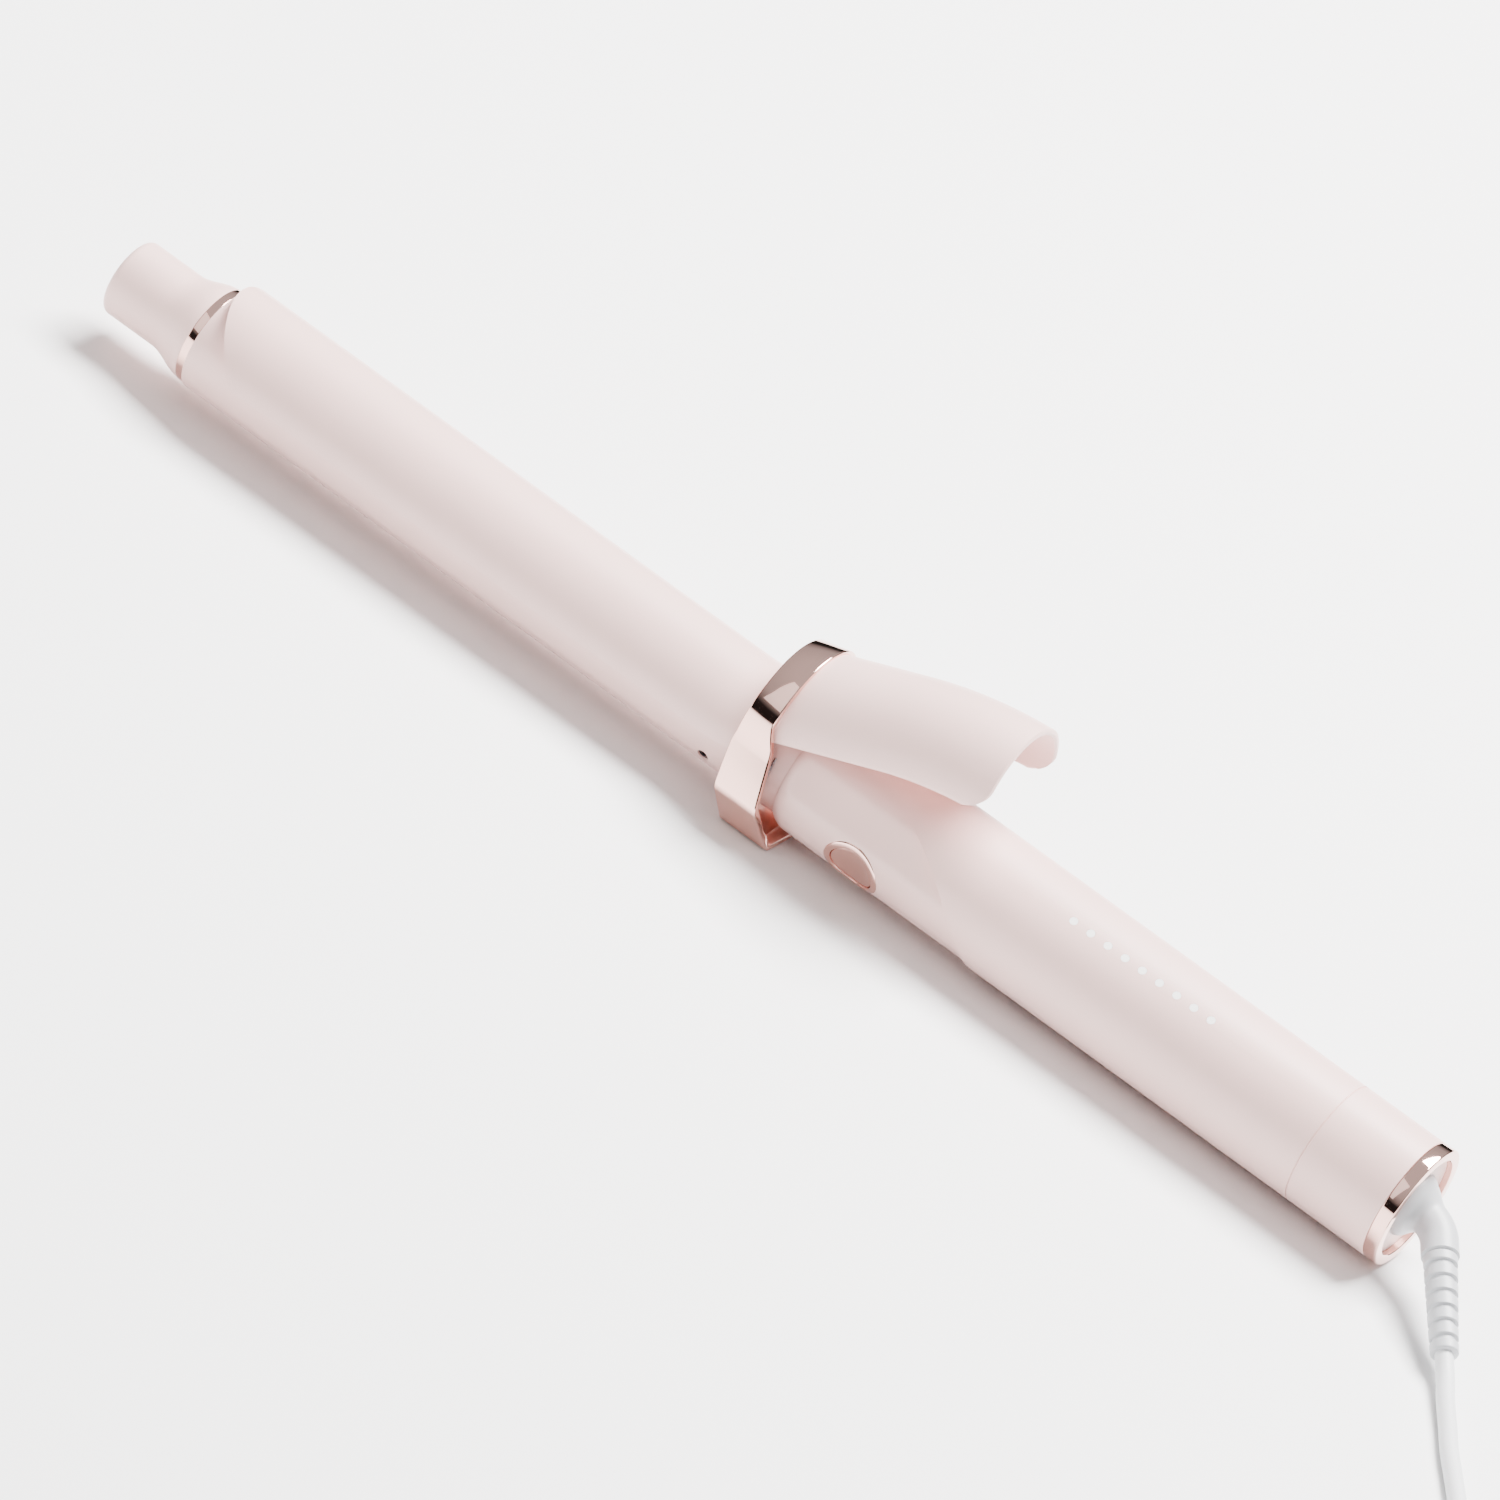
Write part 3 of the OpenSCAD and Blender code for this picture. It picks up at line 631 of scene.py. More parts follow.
@dataclass
class Collar:
    """The polished collar: an arch, flared flanks, chamfers and the flat foot."""

    hinge: float = 193.0
    arch: float = 18.5
    arch_up: float = 9.5
    flank: float = 21.0
    flank_low: float = -6.0
    foot: float = 13.0
    wall: float = 1.9
    corner: float = 0.45
    dip: float = 1.7
    dip_run: float = 20.0
    flank_round: float = 3.2
    foot_round: float = 2.2
    arch_overlap: float = 7.1
    arch_steps: int = 56
    front: float = -6.5
    front_run: float = 4.0
    front_from: float = 5.0
    rear_marks: tuple[tuple[float, float], ...] = (
        (13.0, 1.0), (6.0, 4.0), (-12.5, 9.0), (-AXIS_HEIGHT, 11.0),
    )

    def _outline(self) -> list[tuple[Vector, Vector]]:
        """Points of the outline with their outward directions.

        Returns:
            Pairs of side and height, and of the outward direction.
        """
        low = math.radians(-self.arch_overlap)
        pairs: list[tuple[Vector, Vector]] = []
        for k in range(self.arch_steps + 1):
            a = low + (math.pi - 2 * low) * k / self.arch_steps
            out = Vector((math.cos(a), math.sin(a)))
            pairs.append((Vector((0, self.arch_up)) + self.arch * out, out))
        joint = pairs[0][0]
        points = [
            Vector((-joint.x, joint.y)),
            Vector((-self.flank, self.flank_low)),
            Vector((-self.foot, -AXIS_HEIGHT)),
            Vector((self.foot, -AXIS_HEIGHT)),
            Vector((self.flank, self.flank_low)),
            joint,
        ]
        rounds = (self.flank_round, self.foot_round, self.foot_round, self.flank_round)
        previous = pairs[-1][0]
        for before, here, after, radius in zip(points, points[1:], points[2:], rounds):
            arc = self._fillet(before, here, after, radius)
            pairs += self._run(previous, arc[0][0], arc[0][1])
            pairs += arc
            previous = arc[-1][0]
        pairs += self._run(previous, joint, pairs[-1][1])
        return pairs

    @staticmethod
    def _run(a: Vector, b: Vector, out: Vector) -> list[tuple[Vector, Vector]]:
        """Points between two ends of a straight run, ends left out."""
        count = max(2, int((b - a).length / 2.0))
        return [(a.lerp(b, k / count), out) for k in range(1, count)]

    @staticmethod
    def _fillet(
        before: Vector, here: Vector, after: Vector, radius: float
    ) -> list[tuple[Vector, Vector]]:
        """Rounds a corner of the outline.

        Args:
            before: Corner before it.
            here: The corner.
            after: Corner after it.
            radius: Radius of the round.

        Returns:
            Points of the round with their outward directions.
        """
        a = (before - here).normalized()
        b = (after - here).normalized()
        half = math.acos(max(-1.0, min(1.0, a.dot(b)))) / 2
        centre = here + (a + b).normalized() * radius / math.sin(half)
        first = here + a * radius / math.tan(half) - centre
        last = here + b * radius / math.tan(half) - centre
        points = []
        for k in range(9):
            mix = first.lerp(last, k / 8).normalized()
            points.append((centre + mix * radius, mix))
        return points

    def _reach(self, height: float) -> tuple[float, float]:
        """Front and rear faces of the band at a height.

        Args:
            height: Height above the axis.

        Returns:
            Stations of both faces, counted from the hinge.
        """
        below = max(0.0, self.front_from - height) / (self.front_from + AXIS_HEIGHT)
        front = self.front + self.front_run * below
        marks = self.rear_marks
        if height >= marks[0][0]:
            return front, marks[0][1]
        for (z0, x0), (z1, x1) in zip(marks, marks[1:]):
            if height >= z1:
                return front, x0 + (x1 - x0) * (z0 - height) / (z0 - z1)
        return front, marks[-1][1]

    def _band(self, front: float, back: float) -> list[tuple[float, float]]:
        """Section of the band with its four rounded corners.

        Args:
            front: Station of the front face, from the hinge.
            back: Station of the rear face, from the hinge.

        Returns:
            Pairs of station and depth, with depth 0 on the outer face.
        """
        r = self.corner
        outer, inner = -r, r - self.wall
        section = []
        for n, (x, depth) in enumerate(
            ((front + r, outer), (back - r, outer), (back - r, inner), (front + r, inner))
        ):
            for k in range(5):
                a = math.pi - math.pi / 2 * (n + k / 4)
                section.append((x + r * math.cos(a), depth + r * math.sin(a)))
        return section

    def build(self, shop: Workshop) -> bpy.types.Object:
        """Builds the collar.

        Args:
            shop: Workshop that settles it.

        Returns:
            The collar.
        """
        rings: list[Ring] = []
        for point, out in self._outline():
            front, back = self._reach(point.y)
            ring: Ring = []
            for x, depth in self._band(front, back):
                share = (back - x) / (back - front)
                high = max(0.0, min(1.0, point.y / self.dip_run))
                flat = point + out * (depth - self.dip * high * share**1.2)
                ring.append(at(self.hinge + x, flat.x, flat.y))
            rings.append(ring)
        collar = loft("collar_skin", rings, Ends.JOINED)
        smooth(collar, 55)
        return shop.settle(collar, "rose_gold", Body.CLAMP, ["collar_ring"])


# ---------------------------------------------------------------- handle and trim


@dataclass
class TrimRing:
    """A polished ring round the iron with softly rounded edges."""

    name: str
    node: str
    start: float
    width: float
    outer: float
    inner: float
    edge: float
    chamfer: float = 0.15
    sides: int = 160

    def build(self, shop: Workshop) -> bpy.types.Object:
        """Builds the ring.

        Args:
            shop: Workshop that settles it.

        Returns:
            The ring.
        """
        e, w = self.edge, self.width
        profile: list[tuple[float, float]] = [(0.0, self.inner), (0.0, self.outer - e)]
        for k in range(1, 6):
            q = math.pi / 2 * k / 5
            profile.append((e - e * math.cos(q), self.outer - e + e * math.sin(q)))
        for k in range(6):
            q = math.pi / 2 * k / 5
            profile.append((w - e + e * math.sin(q), self.outer - e + e * math.cos(q)))
        profile += [(w, self.inner + self.chamfer), (w - self.chamfer, self.inner)]
        rings: list[Ring] = []
        for k in range(self.sides):
            a = 2 * math.pi * k / self.sides
            side, up = -math.sin(a), math.cos(a)
            rings.append([at(self.start + x, r * side, r * up) for x, r in profile])
        ring = loft(self.name, rings, Ends.JOINED)
        smooth(ring, 35)
        return shop.settle(ring, "rose_gold", Body.HOUSING, [self.node])


@dataclass
class PowerButton:
    """The dished push button and its raised rim, both following the handle's curve."""

    station: float = 223.0
    angle: float = 124.0
    radius: float = 5.8
    face: float = 14.25
    rim_inner: float = 5.86
    rim_outer: float = 7.51
    rim_face: float = 14.8
    rim_depth: float = 3.2
    low: float = 9.69
    flange: float = 1.0
    flange_thick: float = 0.8
    dish: tuple[tuple[float, float], ...] = (
        (0.0, 0.35), (0.04, 0.14), (0.14, 0.04), (0.3, 0.0), (0.55, 0.02), (0.9, 0.14),
        (1.5, 0.36), (2.3, 0.58), (3.3, 0.76), (4.5, 0.88), (5.5, 0.92),
    )

    def _point(self, rho: float, phi: float, height: float) -> Vector:
        """Places a point round the button's own axis.

        Args:
            rho: Distance from the button's axis.
            phi: Angle round it from the iron's length, in radians.
            height: Height along it from the iron's axis.

        Returns:
            The point in the row frame, in metres.
        """
        a = math.radians(self.angle)
        along, across = rho * math.cos(phi), rho * math.sin(phi)
        side = -height * math.sin(a) - across * math.cos(a)
        up = height * math.cos(a) - across * math.sin(a)
        return at(self.station + along, side, up)

    def level_ring(self, rho: float, height: float, sides: int = 72) -> Ring:
        """Makes a level ring round the button's axis.

        Args:
            rho: Radius of the ring.
            height: Its height from the iron's axis.
            sides: Number of points.

        Returns:
            The ring's points.
        """
        return [self._point(rho, 2 * math.pi * k / sides, height) for k in range(sides)]

    def _wrapped(self, rho: float, phi: float, face: float, drop: float) -> Vector:
        """Places a point on the handle's curve, lowered by a drop.

        Args:
            rho: Distance from the button's axis.
            phi: Angle round it, in radians.
            face: Radius of the curve.
            drop: How far below the curve the point lies.

        Returns:
            The point in the row frame, in metres.
        """
        across = rho * math.sin(phi)
        return self._point(rho, phi, math.sqrt(face**2 - across**2) - drop)

    def _button(self, shop: Workshop) -> bpy.types.Object:
        """Builds the button with its flange and dished face.

        Args:
            shop: Workshop that settles it.

        Returns:
            The button.
        """
        wide = self.radius + self.flange
        rings = [
            self.level_ring(wide, self.low - self.flange_thick),
            self.level_ring(wide, self.low),
            self.level_ring(self.radius, self.low),
        ]
        for inset, drop in self.dish:
            rings.append([
                self._wrapped(self.radius - inset, 2 * math.pi * k / 72, self.face, drop)
                for k in range(72)
            ])
        button = loft("power_button_skin", rings)
        smooth(button, 50)
        return shop.settle(button, "rose_gold", Body.BUTTON, ["power_button"])

    def _rim(self, shop: Workshop) -> bpy.types.Object:
        """Builds the raised rim round the button.

        Args:
            shop: Workshop that settles it.

        Returns:
            The rim.
        """
        i, o = self.rim_inner, self.rim_outer
        profile = (
            (i, self.rim_depth), (i, 0.5), (i + 0.08, 0.22), (i + 0.28, 0.07), (i + 0.6, 0.0),
            (o - 0.6, 0.0), (o - 0.25, 0.08), (o - 0.06, 0.25), (o, 0.5), (o, self.rim_depth),
        )
        sections: list[Ring] = []
        for k in range(96):
            phi = 2 * math.pi * k / 96
            sections.append([self._wrapped(rho, phi, self.rim_face, drop) for rho, drop in profile])
        rim = loft("button_rim_skin", sections, Ends.JOINED)
        smooth(rim, 50)
        return shop.settle(rim, "rose_gold", Body.HOUSING, ["button_bezel"])

    def build(self, shop: Workshop) -> list[bpy.types.Object]:
        """Builds the button and its rim.

        Args:
            shop: Workshop that settles them.

        Returns:
            The button and the rim.
        """
        return [self._button(shop), self._rim(shop)]


@dataclass
class HandleNeck:
    """The neck in front of the shoulder, flattened on both flanks, with the button's hole."""

    start: float = 200.0
    taper: float = 3.5
    end: float = 268.0
    radius: float = 14.5
    front_radius: float = 13.4
    inner: float = 12.75
    flank_angle: float = 72.0
    flank_depth: float = 13.6
    softness: float = 0.12
    front_edge: float = 0.6
    front_ease: float = 0.3
    close_marks: tuple[float, ...] = (0.0, 0.25, 0.6, 1.2, 2.0, 2.8, 3.5, 5.0, 7.0, 9.0)
    far_steps: int = 20
    sides: int = 128
    hole_overlap: float = 0.02

    def _radius(self, angle: float, share: float) -> float:
        """Radius at an angle from up, softly cut by the flank.

        Args:
            angle: Angle from up in radians, towards either flank.
            share: Share of the flank's cut that holds here.

        Returns:
            The radius in millimetres.
        """
        away = abs(angle) - math.radians(self.flank_angle)
        if math.cos(away) <= 0.3:
            return self.radius
        flat = self.flank_depth / math.cos(away)
        gap = flat - self.radius
        cut = -0.5 * (math.sqrt(gap * gap + self.softness) - gap)
        lift = 0.5 * math.sqrt(self.softness) * math.exp(-gap * gap)
        return self.radius + min(0.0, cut + lift) * share

    def build(self, shop: Workshop) -> bpy.types.Object:
        """Builds the neck.

        Args:
            shop: Workshop that settles it.

        Returns:
            The neck.
        """
        near = self.close_marks[-1]
        far = self.end - self.start - near
        marks = [*self.close_marks]
        marks += [near + far * k / self.far_steps for k in range(1, self.far_steps + 1)]
        rings: list[Ring] = []
        for k in range(self.sides):
            a = -math.pi + 2 * math.pi * k / self.sides
            outer: Ring = []
            for mark in marks:
                t = min(1.0, mark / self.taper)
                rise = self.radius - self.front_radius
                grow = self.front_radius + rise * math.sin(math.pi / 2 * t)
                if mark < self.front_edge:
                    grow -= self.front_ease * (1 - mark / self.front_edge) ** 2
                r = min(grow, self._radius(a, t))
                outer.append(at(self.start + mark, -r * math.sin(a), r * math.cos(a)))
            inner = [
                at(self.start + mark, -self.inner * math.sin(a), self.inner * math.cos(a))
                for mark in reversed(marks)
            ]
            rings.append([*outer, *inner])
        neck = loft("neck_skin", rings, Ends.JOINED)
        self._bore(neck)
        smooth(neck, 40)
        return shop.settle(neck, "pink_plastic", Body.HOUSING, ["handle_neck"])

    def _bore(self, neck: bpy.types.Object) -> None:
        """Cuts the button's hole through the wall.

        Args:
            neck: The neck's mesh object.
        """
        button = PowerButton()
        wide = button.rim_outer - self.hole_overlap
        cutter = loft("neck_cutter", [button.level_ring(wide, up) for up in (8.0, 18.0)])
        step = neck.modifiers.new("hole", "BOOLEAN")
        step.operation, step.solver, step.object = "DIFFERENCE", "EXACT", cutter
        graph = bpy.context.evaluated_depsgraph_get()
        mesh = bpy.data.meshes.new_from_object(neck.evaluated_get(graph))
        neck.modifiers.clear()
        neck.data = mesh
        bpy.data.objects.remove(cutter, do_unlink=True)


# ---------------------------------------------------------------- cord


@dataclass
class StrainRelief:
    """The moulded elbow and its grooved sleeve."""

    start: Vector = field(default_factory=lambda: Vector((184.0, 0.0, 16.5)))
    lead: float = 2.0
    bend: float = 11.0
    turn: float = 52.0
    roll: float = 113.4
    straight: float = 4.0
    sleeve: float = 26.0
    cone: float = 5.5
    cone_radius: float = 7.9
    elbow_radius: float = 4.3
    sleeve_radius: float = 3.9
    sleeve_end_radius: float = 3.2
    sleeve_round: float = 0.5
    grooves: int = 6
    groove_half: float = 0.75
    groove_depth: float = 0.7
    groove_slope: float = 0.2
    sides: int = 40

    def _sleeve_from(self) -> float:
        """Distance along the line at which the sleeve starts."""
        return self.lead + self.bend * math.radians(self.turn) + self.straight

    def _radius(self, length: float) -> float:
        """Radius of the moulding.

        Args:
            length: Distance along its line.

        Returns:
            The radius in millimetres.
        """
        if length < self.cone:
            t = length / self.cone
            ease = t * t * (3 - 2 * t)
            return self.cone_radius + (self.elbow_radius - self.cone_radius) * ease
        along = length - self._sleeve_from()
        if along < 0:
            return self.elbow_radius
        taper = self.sleeve_end_radius - self.sleeve_radius
        body = self.sleeve_radius + taper * along / self.sleeve
        pitch = self.sleeve / (self.grooves + 0.6)
        phase = (along - 0.8 * pitch) / pitch
        off = abs(phase - round(phase)) * pitch
        if 0 <= round(phase) < self.grooves and off < self.groove_half:
            body -= self.groove_depth * min(1.0, (self.groove_half - off) / self.groove_slope)
        edge = min(along, self.sleeve - along)
        if edge < self.sleeve_round:
            r = self.sleeve_round
            body -= r - math.sqrt(max(0.0, r * r - (r - edge) ** 2))
        return body

    def _line(self, length: float) -> tuple[Vector, Vector, Vector]:
        """Follows the middle line of the moulding.

        Args:
            length: Distance along the line.

        Returns:
            The point, the heading and the sideways direction there.
        """
        forward = Vector((1, 0, 0))
        roll = math.radians(self.roll)
        side = Vector((0, -math.sin(roll), math.cos(roll)))
        if length <= self.lead:
            return self.start + forward * length, forward, side
        arc = self.bend * math.radians(self.turn)
        angle = min(length - self.lead, arc) / self.bend
        heading = forward * math.cos(angle) + side * math.sin(angle)
        across = side * math.cos(angle) - forward * math.sin(angle)
        point = (
            self.start + forward * self.lead
            + forward * self.bend * math.sin(angle)
            + side * self.bend * (1 - math.cos(angle))
        )
        point += heading * max(0.0, length - self.lead - arc)
        return point, heading, across

    def build(self, shop: Workshop) -> bpy.types.Object:
        """Builds the strain relief.

        Args:
            shop: Workshop that settles it.

        Returns:
            The strain relief.
        """
        sleeve_from = self._sleeve_from()
        lengths = [k * sleeve_from / 40 for k in range(40)]
        lengths += [sleeve_from + k * self.sleeve / 170 for k in range(171)]
        rings: list[Ring] = []
        for length in lengths:
            point, heading, across = self._line(length)
            other = heading.cross(across)
            r = self._radius(length)
            rings.append([
                (point + r * (across * math.cos(a) + other * math.sin(a))) * MM
                for a in (2 * math.pi * k / self.sides for k in range(self.sides))
            ])
        relief = loft("strain_relief_skin", rings)
        smooth(relief, 60)
        return shop.settle(relief, "white_rubber", Body.SWIVEL, ["strain_relief"])


@dataclass
class Plug:
    """The moulded plug body with a soft waist and grip ridges."""

    place: Vector = field(default_factory=lambda: Vector((312.4, -47.7, 8.5)))
    turn: float = 110.0
    neck: float = 9.0
    length: float = 36.0
    half_width: float = 12.5
    half_height: float = 8.5
    entry_radius: float = 3.4
    neck_radius: float = 5.5
    shoulder: float = 8.0
    grip: tuple[float, float] = (18.0, 30.0)
    ridge_pitch: float = 2.4
    ridge_depth: float = 0.7
    face_round: float = 1.2

    def _size(self, x: float) -> tuple[float, float, float]:
        """Size of the body at a distance from the cord's entry.

        Args:
            x: Distance from the cord's entry.

        Returns:
            Half width, half height and squareness.
        """
        if x < self.neck:
            r = self.entry_radius + (self.neck_radius - self.entry_radius) * x / self.neck
            return r, r, 2.0
        t = min(1.0, (x - self.neck) / self.shoulder)
        ease = t * t * (3 - 2 * t)
        wide = self.neck_radius + (self.half_width - self.neck_radius) * ease
        high = self.neck_radius + (self.half_height - self.neck_radius) * ease
        start, stop = self.grip
        if start < x < stop:
            wave = math.cos(2 * math.pi * (x - start) / self.ridge_pitch)
            wide -= self.ridge_depth * (0.5 - 0.5 * wave)
        left = self.length - x
        if left < self.face_round:
            r = self.face_round
            pull = r - math.sqrt(max(0.0, r * r - (r - left) ** 2))
            wide, high = wide - pull, high - pull
        return wide, high, 2.0 + 2.2 * ease

    def build(self, shop: Workshop) -> bpy.types.Object:
        """Builds the plug body.

        Args:
            shop: Workshop that settles it.

        Returns:
            The plug body.
        """
        angle = math.radians(self.turn)
        forward = Vector((math.cos(angle), math.sin(angle), 0))
        side = Vector((-math.sin(angle), math.cos(angle), 0))
        rings: list[Ring] = []
        for k in range(121):
            x = self.length * k / 120
            wide, high, power = self._size(x)
            ring = []
            for j in range(48):
                a = 2 * math.pi * j / 48
                c, s = math.cos(a), math.sin(a)
                y = wide * math.copysign(abs(c) ** (2 / power), c)
                z = high * math.copysign(abs(s) ** (2 / power), s)
                ring.append((self.place + forward * x + side * y + Vector((0, 0, z))) * MM)
            rings.append(ring)
        plug = loft("plug_skin", rings)
        smooth(plug, 50)
        return shop.settle(plug, "white_rubber", Body.SWIVEL, ["plug_body"])


@dataclass
class Cord:
    """The mains cord: a run along the floor, a tied coil and a short tail to the plug."""

    diameter: float = 4.2
    stated_length: float = 2.5
    centre: Vector = field(default_factory=lambda: Vector((296.2, -93.9, 0.0)))
    outer: float = 31.4
    inner: float = 14.6
    layers: tuple[float, ...] = (3.1, 7.3, 11.5, 15.7)
    enter: float = 212.4
    leave: float = 20.0
    turns: int = 16
    degrees_a_point: float = 12.0
    climb: float = 0.011
    run_steps: int = 5
    lead: tuple[tuple[float, float, float], ...] = (
        (213, -25.6, 5.4), (216.8, -30, 3.7), (221, -36.5, 2.7), (226, -44, 2.3),
        (231, -52, 2.2), (236.2, -59.4, 2.2), (241.5, -67, 2.2), (246.9, -74.9, 2.2),
        (252.3, -83, 2.3), (257.6, -91.3, 2.6), (262.6, -99.5, 3.1), (266.1, -105, 3.1),
    )
    tail: tuple[tuple[float, float, float], ...] = (
        (321.3, -69.9, 15.2), (319, -64.7, 13), (316.9, -59.8, 10.4), (314.5, -53.5, 8.9),
        (312.4, -47.7, 8.5),
    )

    def _coil(self) -> list[Vector]:
        """Winds the coil, with 30 points for each turn.

        Returns:
            Points of the coil's line in millimetres.
        """
        total = self.turns * 360 + self.leave - self.enter
        count = int(total / self.degrees_a_point)
        share_layer = 1 / len(self.layers)
        points = []
        for k in range(count + 1):
            share = k / count
            angle = math.radians(self.enter + total * share)
            layer = min(len(self.layers) - 1, int(share / share_layer))
            inside = share / share_layer - layer
            radius = (
                self.outer + (self.inner - self.outer) * inside
                if layer % 2 == 0
                else self.inner + (self.outer - self.inner) * inside
            )
            points.append(self.centre + Vector((
                radius * math.cos(angle), radius * math.sin(angle), self._height(share)
            )))
        return points

    def _height(self, share: float) -> float:
        """Height of the coil's line, which climbs softly between layers.

        Args:
            share: Share of the coil's length, from 0 to 1.

        Returns:
            Height above the floor in millimetres.
        """
        band = self.climb
        for n in range(1, len(self.layers)):
            edge = n / len(self.layers)
            if abs(share - edge) < band:
                t = (share - edge + band) / (2 * band)
                ease = t * t * (3 - 2 * t)
                return self.layers[n - 1] + (self.layers[n] - self.layers[n - 1]) * ease
        return self.layers[min(len(self.layers) - 1, int(share * len(self.layers)))]

    def route(self) -> list[Vector]:
        """Joins the lead, the coil and the tail.

        Returns:
            The whole centre line in millimetres.
        """
        coil = self._coil()
        first = catmull([*(Vector(p) for p in self.lead), coil[0]], self.run_steps)
        last = catmull([coil[-1], *(Vector(p) for p in self.tail)], self.run_steps)
        return [*first[:-1], *coil, *last[1:]]

    def build(self, shop: Workshop, pieces: Sequence[bpy.types.Object]) -> bpy.types.Object:
        """Args:
            shop: Workshop that settles it.
            pieces: Separate pieces that sit on the cord. Not used.

        Returns:
            The cord's curve.
        """
        points = self.route()
        length = sum((b - a).length for a, b in zip(points, points[1:])) * MM
        LOG.info("cord line measures %.3f m", length)
        curve = bpy.data.curves.new("mains_cord", "CURVE")
        curve.dimensions = "3D"
        curve.bevel_depth = self.diameter / 2 * MM
        curve.bevel_resolution = 4
        curve.use_fill_caps = True
        spline = curve.splines.new("POLY")
        spline.points.add(len(points) - 1)
        for slot, point in zip(spline.points, points):
            slot.co = (*(point * MM), 1.0)
        spline.use_smooth = True
        cord = bpy.data.objects.new("mains_cord", curve)
        bpy.context.scene.collection.objects.link(cord)
        shop.settle(cord, "white_cord", Body.SWIVEL, ["cord_lead", "cord_coil", "cord_tail"])
        return cord


# ---------------------------------------------------------------- studio


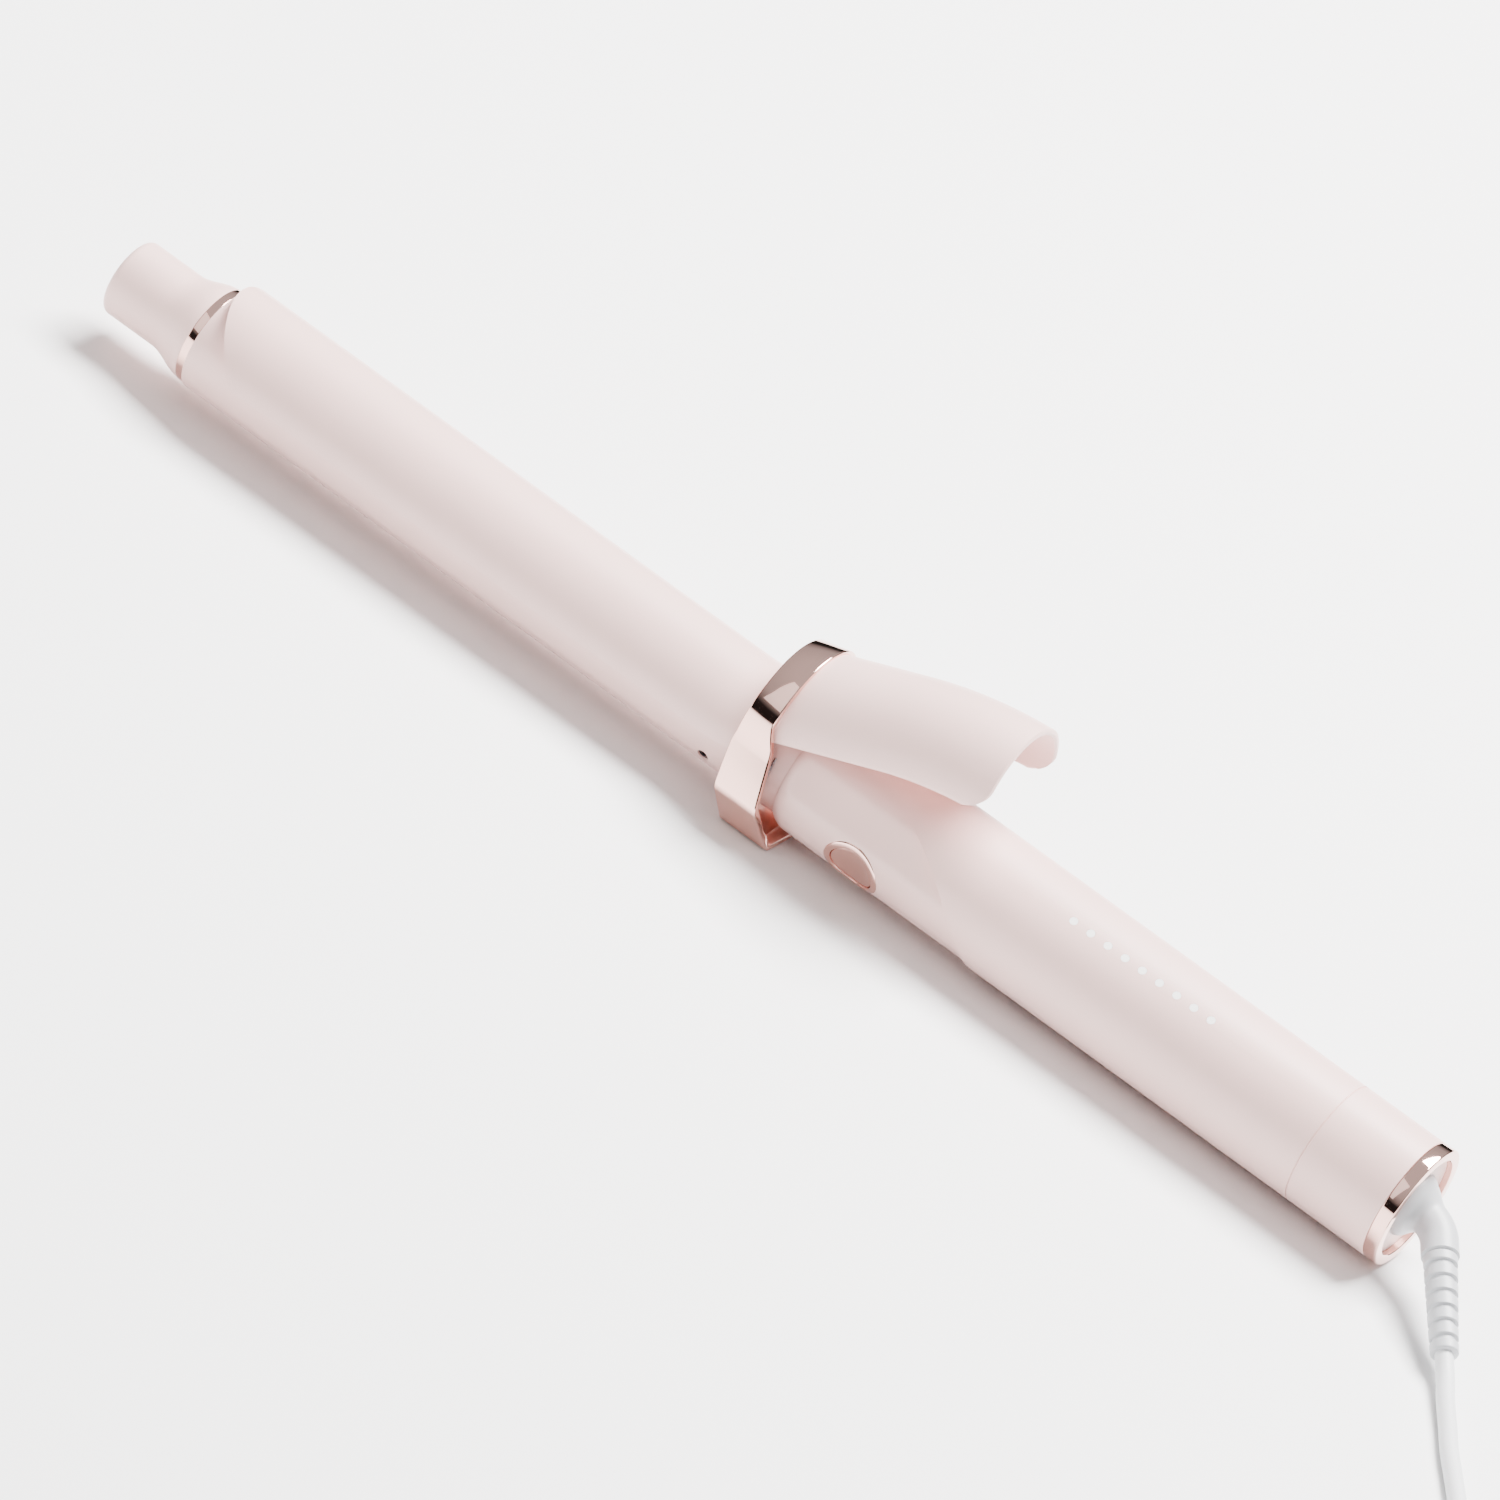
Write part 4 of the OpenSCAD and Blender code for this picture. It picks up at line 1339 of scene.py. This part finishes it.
@dataclass
class Studio:
    """Pale floor, soft light and the camera."""

    right: Vector = field(default_factory=lambda: Vector((0.7755, 0.4919, 0.3925)))
    up: Vector = field(default_factory=lambda: Vector((-0.562, 0.2606, 0.784)))
    back: Vector = field(default_factory=lambda: Vector((0.284, -0.830, 0.479)))
    target: Vector = field(default_factory=lambda: Vector((0.0002, -0.001, 0.0125)))
    distance: float = 2.7
    lens: float = 290.0
    floor_half: float = 20.0
    sky: float = 0.8

    def camera(self) -> None:
        """Places the camera."""
        data = bpy.data.cameras.new("camera")
        data.lens = self.lens
        data.sensor_width = 36.0
        data.clip_start, data.clip_end = 0.05, 60.0
        camera = bpy.data.objects.new("camera", data)
        turn = Matrix((self.right, self.up, self.back)).transposed()
        place = Matrix.Translation(self.target + self.back * self.distance)
        camera.matrix_world = place @ turn.to_4x4()
        bpy.context.scene.collection.objects.link(camera)
        bpy.context.scene.camera = camera

    def floor(self) -> None:
        """Lays the pale floor."""
        mesh = bpy.data.meshes.new("floor")
        s = self.floor_half
        corners = [(-s, -s, 0), (s, -s, 0), (s, s, 0), (-s, s, 0)]
        mesh.from_pydata(corners, [], [(0, 1, 2, 3)])
        floor = bpy.data.objects.new("floor", mesh)
        mesh.materials.append(
            Finish((0.9, 0.9, 0.9), 0.9, specular=0.1, tint=0.003, relief=0.000001).dress("floor")
        )
        bpy.context.scene.collection.objects.link(floor)

    def _lamp(self, name: str, place: Vector, size: float, power: float, colour: Colour) -> None:
        """Adds a soft square lamp that faces the iron.

        Args:
            name: Name of the lamp.
            place: Its place in metres.
            size: Side of its face.
            power: Power in watts.
            colour: Colour of its light.
        """
        data = bpy.data.lights.new(name, "AREA")
        data.shape = "SQUARE"
        data.size, data.energy, data.color = size, power, colour
        lamp = bpy.data.objects.new(name, data)
        lamp.location = place
        lamp.rotation_euler = (self.target - place).to_track_quat("-Z", "Y").to_euler()
        bpy.context.scene.collection.objects.link(lamp)

    def light(self) -> None:
        """Sets the soft light, brighter above and darker low all round."""
        world = bpy.data.worlds.new("studio")
        bpy.context.scene.world = world
        world.use_nodes = True
        tree = world.node_tree
        ground = tree.nodes["Background"]
        ground.inputs["Strength"].default_value = self.sky
        place = tree.nodes.new("ShaderNodeTexCoord")
        split = tree.nodes.new("ShaderNodeSeparateXYZ")
        ramp = tree.nodes.new("ShaderNodeValToRGB")
        tree.links.new(place.outputs["Generated"], split.inputs["Vector"])
        tree.links.new(split.outputs["Z"], ramp.inputs["Fac"])
        tree.links.new(ramp.outputs["Color"], ground.inputs["Color"])
        ramp.color_ramp.elements[0].position = 0.0
        ramp.color_ramp.elements[0].color = (0.02, 0.018, 0.018, 1)
        ramp.color_ramp.elements[1].position = 0.2
        ramp.color_ramp.elements[1].color = (0.03, 0.027, 0.027, 1)
        for position, shade in ((0.3, 0.35), (0.45, 0.75), (0.8, 1.0)):
            step = ramp.color_ramp.elements.new(position)
            step.color = (shade, shade, shade, 1)
        self._lamp("key", Vector((0.25, 0.75, 1.8)), 1.1, 250.0, (1.0, 0.985, 0.975))
        self._lamp("fill", Vector((-0.9, -1.5, 1.3)), 1.4, 8.0, (1.0, 1.0, 1.0))


# ---------------------------------------------------------------- the whole iron


@dataclass
class CurlingIron:
    """Builds every visible piece in order."""

    shop: Workshop = field(default_factory=lambda: Workshop(Wardrobe()))

    def dress_nodes(self, frame: dict) -> None:
        """Gives each CAD node its finish.
        """
        slots = {row["node"]: row["material_slot"] for row in frame["record"]["subparts"]}
        for name, node in frame["nodes"].items():
            node.data.materials.clear()
            node.data.materials.append(self.shop.wardrobe.get(slots[name]))
            LOG.info("%s keeps its own shape in %s", name, slots[name])

    def build(self, frame: dict) -> None:
        """Builds the iron.
        """
        self.dress_nodes(frame)
        relief = StrainRelief().build(self.shop)
        plug = Plug().build(self.shop)
        nodes = frame["nodes"]
        Cord().build(self.shop, [relief, plug, nodes["cord_tie"], nodes["plug_blades"]])
        TrimRing("tip_ring_skin", "tip_ring", 25.0, 2.2, 12.35, 9.5, 0.25).build(self.shop)
        TrimRing("end_ring_skin", "end_ring", 367.5, 3.5, 15.25, 12.6, 0.4).build(self.shop)
        HandleNeck().build(self.shop)
        PowerButton().build(self.shop)
        ClampPlate().build(self.shop)
        ThumbLever().build(self.shop)
        Collar().build(self.shop)


def main() -> None:
    """Builds the studio and the iron."""
    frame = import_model()
    studio = Studio()
    studio.camera()
    studio.floor()
    studio.light()
    CurlingIron().build(frame)


if __name__ == "__main__":
    main()
